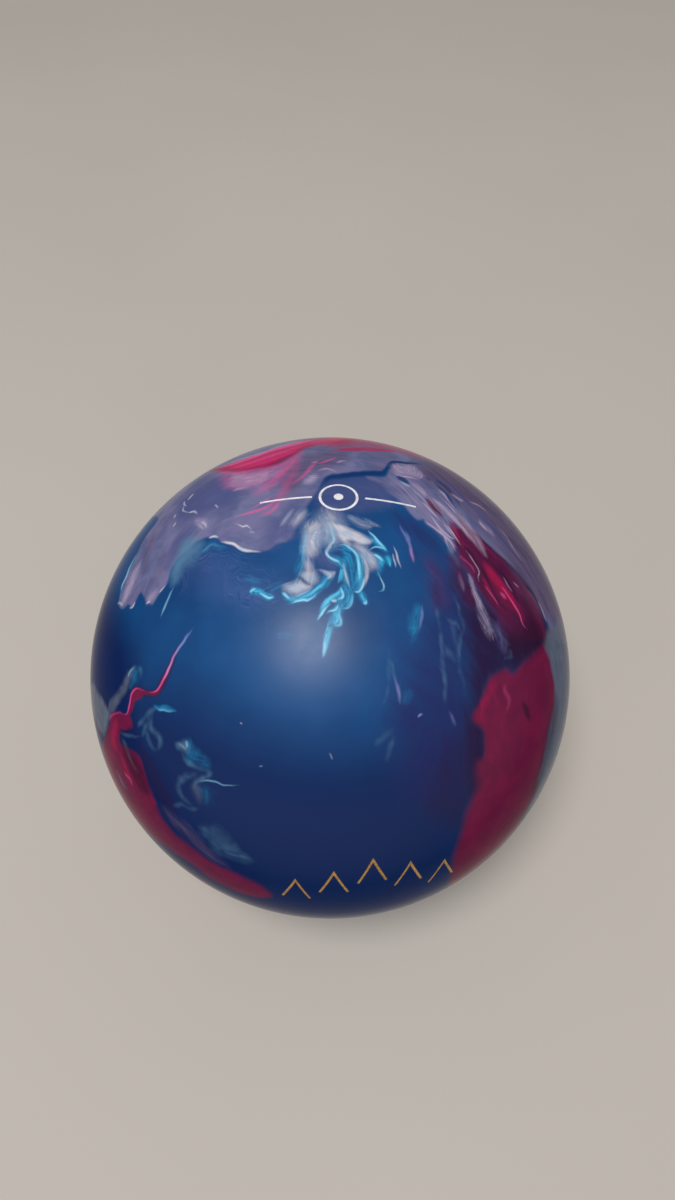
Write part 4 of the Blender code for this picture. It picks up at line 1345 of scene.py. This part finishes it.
def base_blue(graph, noises):
    """The blue resin under all layers."""
    blue = graph.mix(graph.step(noises["broad"], 0.35, 0.68), srgb(9, 56, 108), srgb(13, 72, 128))
    return graph.mix(graph.math("MULTIPLY", noises["fine"], 0.08), blue, srgb(30, 96, 150))


def layer_paints(graph, noises):
    """The layers from the lowest up: name, how frayed it is, the noise that frays it, and its paint."""

    def blend(noise, low, high, first, second, most=1.0):
        return graph.mix(graph.step(noises[noise], low, high, 0.0, most), first, second)

    pearl = blend("cloud", 0.36, 0.66, srgb(84, 92, 132), srgb(110, 111, 150))
    pearl = blend("streak", 0.42, 0.70, pearl, srgb(116, 103, 143), 0.6)
    pearl = blend("thin_streak", 0.54, 0.74, pearl, srgb(152, 144, 174), 0.22)
    crimson = blend("cloud", 0.32, 0.68, srgb(112, 20, 63), srgb(98, 18, 59))
    crimson = blend("thin_streak", 0.50, 0.80, crimson, srgb(132, 28, 79), 0.3)
    return (
        # Deep blue, most of it painted shade and a painted shadow on the left side and lower front
        ("navy_and_painted_shade", 0.5, "broad", srgb(4, 30, 82)),
        ("violet", 1.0, "streak", srgb(31, 33, 90)),
        ("plum", 1.0, "streak", srgb(34, 15, 58)),
        ("pearl", 0.6, "thin_streak", pearl),
        ("mauve", 1.2, "thin_streak", blend("streak", 0.38, 0.64, srgb(80, 66, 100), srgb(96, 84, 116))),
        ("dusk", 1.4, "streak", srgb(72, 80, 128)),
        ("mist", 1.0, "wisp", blend("thin_streak", 0.36, 0.66, srgb(87, 97, 117), srgb(101, 109, 125))),
        ("crimson", 0.5, "thin_streak", crimson),
        ("ruby", 0.8, "thin_streak", srgb(172, 20, 76)),
        ("seam", 1.2, "thin_streak", srgb(46, 12, 44)),
        ("pink", 1.0, "strand", srgb(226, 84, 150)),
        ("fray", 4.0, "hair", srgb(152, 140, 172)),
        ("lilac", 1.6, "strand", srgb(184, 164, 194)),
        # Pale wisps, and a painted sheen on the upper left
        ("frost_and_painted_sheen", 1.0, "strand", srgb(146, 150, 216)),
        ("smoke", 1.0, "wisp", srgb(84, 126, 158)),
        ("teal", 1.2, "wisp", blend("strand", 0.34, 0.66, srgb(12, 92, 142), srgb(32, 138, 184))),
        ("cyan", 1.6, "strand", blend("strand", 0.34, 0.66, srgb(28, 146, 196), srgb(78, 186, 220))),
        ("white", 0.9, "strand", blend("wisp", 0.34, 0.66, srgb(186, 196, 214), srgb(216, 210, 216))),
        ("rim", 1.0, "strand", srgb(146, 214, 240)),
        ("ink", 0.6, "cloud", srgb(12, 52, 104)),
    )


def cover_colour(graph, place):
    """The drawn layers on the side that faces the viewer, and like swirls round the back."""
    noises = cover_noises(graph, place)
    behind = back_covers(graph, place)
    back = graph.attribute("back")
    colour = base_blue(graph, noises)
    for name, frayed, noise, paint in layer_paints(graph, noises):
        shake = graph.math("SUBTRACT", noises[noise], 0.5)
        shaken = graph.math("MULTIPLY_ADD", shake, frayed, graph.attribute(name))
        covered = graph.step(shaken, -1.0, 1.0)
        if name in behind:
            covered = graph.math("MAXIMUM", covered, graph.math("MULTIPLY", behind[name], back))
        colour = graph.mix(covered, colour, paint)
    return colour


def cover_material():
    """Poured resin, which mirrors less strongly and more sharply towards its outline."""
    graph = Graph("marbled_resin")
    place = graph.place()
    facing = graph.node("ShaderNodeLayerWeight").outputs["Facing"]
    satin = graph.step(graph.noise(place, 90, 4, 0.6), 0.2, 0.8, *COVER_ROUGHNESS)
    polish = graph.step(facing, *POLISH_RANGE, 1.0, EDGE_POLISH)
    return graph.finish(
        base_color=cover_colour(graph, place),
        roughness=graph.math("MULTIPLY", satin, polish),
        specular_ior_level=graph.step(facing, *GLOSS_RANGE, COVER_GLOSS, EDGE_GLOSS),
        normal=graph.bump(graph.noise(place, 2600, 2, 0.5), 0.06, 0.0001),
    )


def speckled_material(name, base, speck, speck_scale, roughness):
    """Cast resin with mineral filler in it."""
    graph = Graph(name)
    place = graph.place()
    tone = graph.noise(place, 60, 5, 0.6)
    specks = graph.noise(place, speck_scale, 3, 0.7)
    dark = tuple(0.6 * value for value in base[:3]) + (1.0,)
    colour = graph.mix(graph.step(tone, 0.3, 0.7), dark, base)
    colour = graph.mix(graph.step(specks, 0.60, 0.68), colour, speck)
    uneven = graph.step(tone, 0.2, 0.8, roughness - 0.1, roughness + 0.1)
    return graph.finish(base_color=colour, roughness=uneven, normal=graph.bump(specks, 0.3, 0.0003))


def pin_material():
    return speckled_material("pin_resin", srgb(224, 214, 190), srgb(240, 236, 224), 900, 0.36)


def gold_material():
    """Gold paint with the unevenness of a hand-filled line."""
    graph = Graph("gold_paint")
    place = graph.place()
    tone = graph.noise(place, 700, 4, 0.6)
    flake = graph.noise(place, 5200, 2, 0.5)
    colour = graph.mix(graph.step(tone, 0.3, 0.7), srgb(150, 104, 36), srgb(205, 158, 72))
    colour = graph.mix(graph.step(flake, 0.56, 0.70), colour, srgb(236, 200, 124))
    return graph.finish(base_color=colour, roughness=graph.step(tone, 0.2, 0.8, 0.32, 0.48), metallic=0.55,
                        normal=graph.bump(flake, 0.25, 0.0001))


def white_material():
    """White paint, a little worn and dusty."""
    graph = Graph("white_paint")
    place = graph.place()
    tone = graph.noise(place, 600, 5, 0.65)
    colour = graph.mix(graph.step(tone, 0.25, 0.6), srgb(190, 192, 200), srgb(232, 232, 236))
    return graph.finish(base_color=colour, roughness=graph.step(tone, 0.2, 0.8, 0.42, 0.58),
                        normal=graph.bump(tone, 0.2, 0.0001))


def dress_core():
    """Materials for the cast pieces inside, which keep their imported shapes."""
    finishes = {
        "filler_core": speckled_material("filler_resin", srgb(178, 172, 158), srgb(218, 214, 204), 800, 0.7),
        "weight_block": speckled_material("weight_resin", srgb(176, 116, 52), srgb(210, 164, 104), 700, 0.6),
        "flip_block": speckled_material("flip_resin", srgb(44, 82, 66), srgb(98, 134, 118), 700, 0.6),
    }
    for node, finish in finishes.items():
        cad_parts[node].data.materials.clear()
        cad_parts[node].data.materials.append(finish)


def build_floor():
    bm = bmesh.new()
    bmesh.ops.create_grid(bm, x_segments=1, y_segments=1, size=FLOOR_SIDE / 2,
                          matrix=Matrix.Translation((0, 0, -BALL_RADIUS)))
    floor = add_object("floor", bm)
    graph = Graph("pale_floor")
    tone = graph.noise(graph.place(), 3, 3)
    floor.data.materials.append(graph.finish(
        base_color=graph.mix(tone, srgb(182, 175, 167), srgb(192, 185, 177)), roughness=0.9))


def build_light():
    lamp = bpy.data.lights.new("key", "AREA")
    lamp.shape = "DISK"
    lamp.size = KEY_SIZE
    lamp.energy = KEY_POWER
    key = bpy.data.objects.new("key", lamp)
    direction = Vector(KEY_DIRECTION).normalized()
    key.location = direction * KEY_DISTANCE
    key.rotation_euler = direction.to_track_quat("Z", "Y").to_euler()
    bpy.context.scene.collection.objects.link(key)
    world = bpy.data.worlds.new("soft_room")
    world.use_nodes = True
    world.node_tree.nodes["Background"].inputs["Color"].default_value = srgb(250, 248, 246)
    world.node_tree.nodes["Background"].inputs["Strength"].default_value = FILL_STRENGTH
    bpy.context.scene.world = world
    bpy.context.scene.view_settings.view_transform = "Standard"


def build_camera():
    data = bpy.data.cameras.new("camera")
    data.lens = LENS_MM
    data.sensor_width = SENSOR_MM
    data.clip_start = CAMERA_NEAR
    camera = bpy.data.objects.new("camera", data)
    camera.location = CAMERA_PLACE
    camera.rotation_euler = (math.pi / 2 - CAMERA_PITCH, 0, 0)
    bpy.context.scene.collection.objects.link(camera)
    bpy.context.scene.camera = camera


build_camera()
build_light()
build_floor()
cut_lines = bmesh.new()
build_lane_arrows(cut_lines)
build_balance_mark(cut_lines)
build_locator_pin(cut_lines)
build_cover(cut_lines)
dress_core()
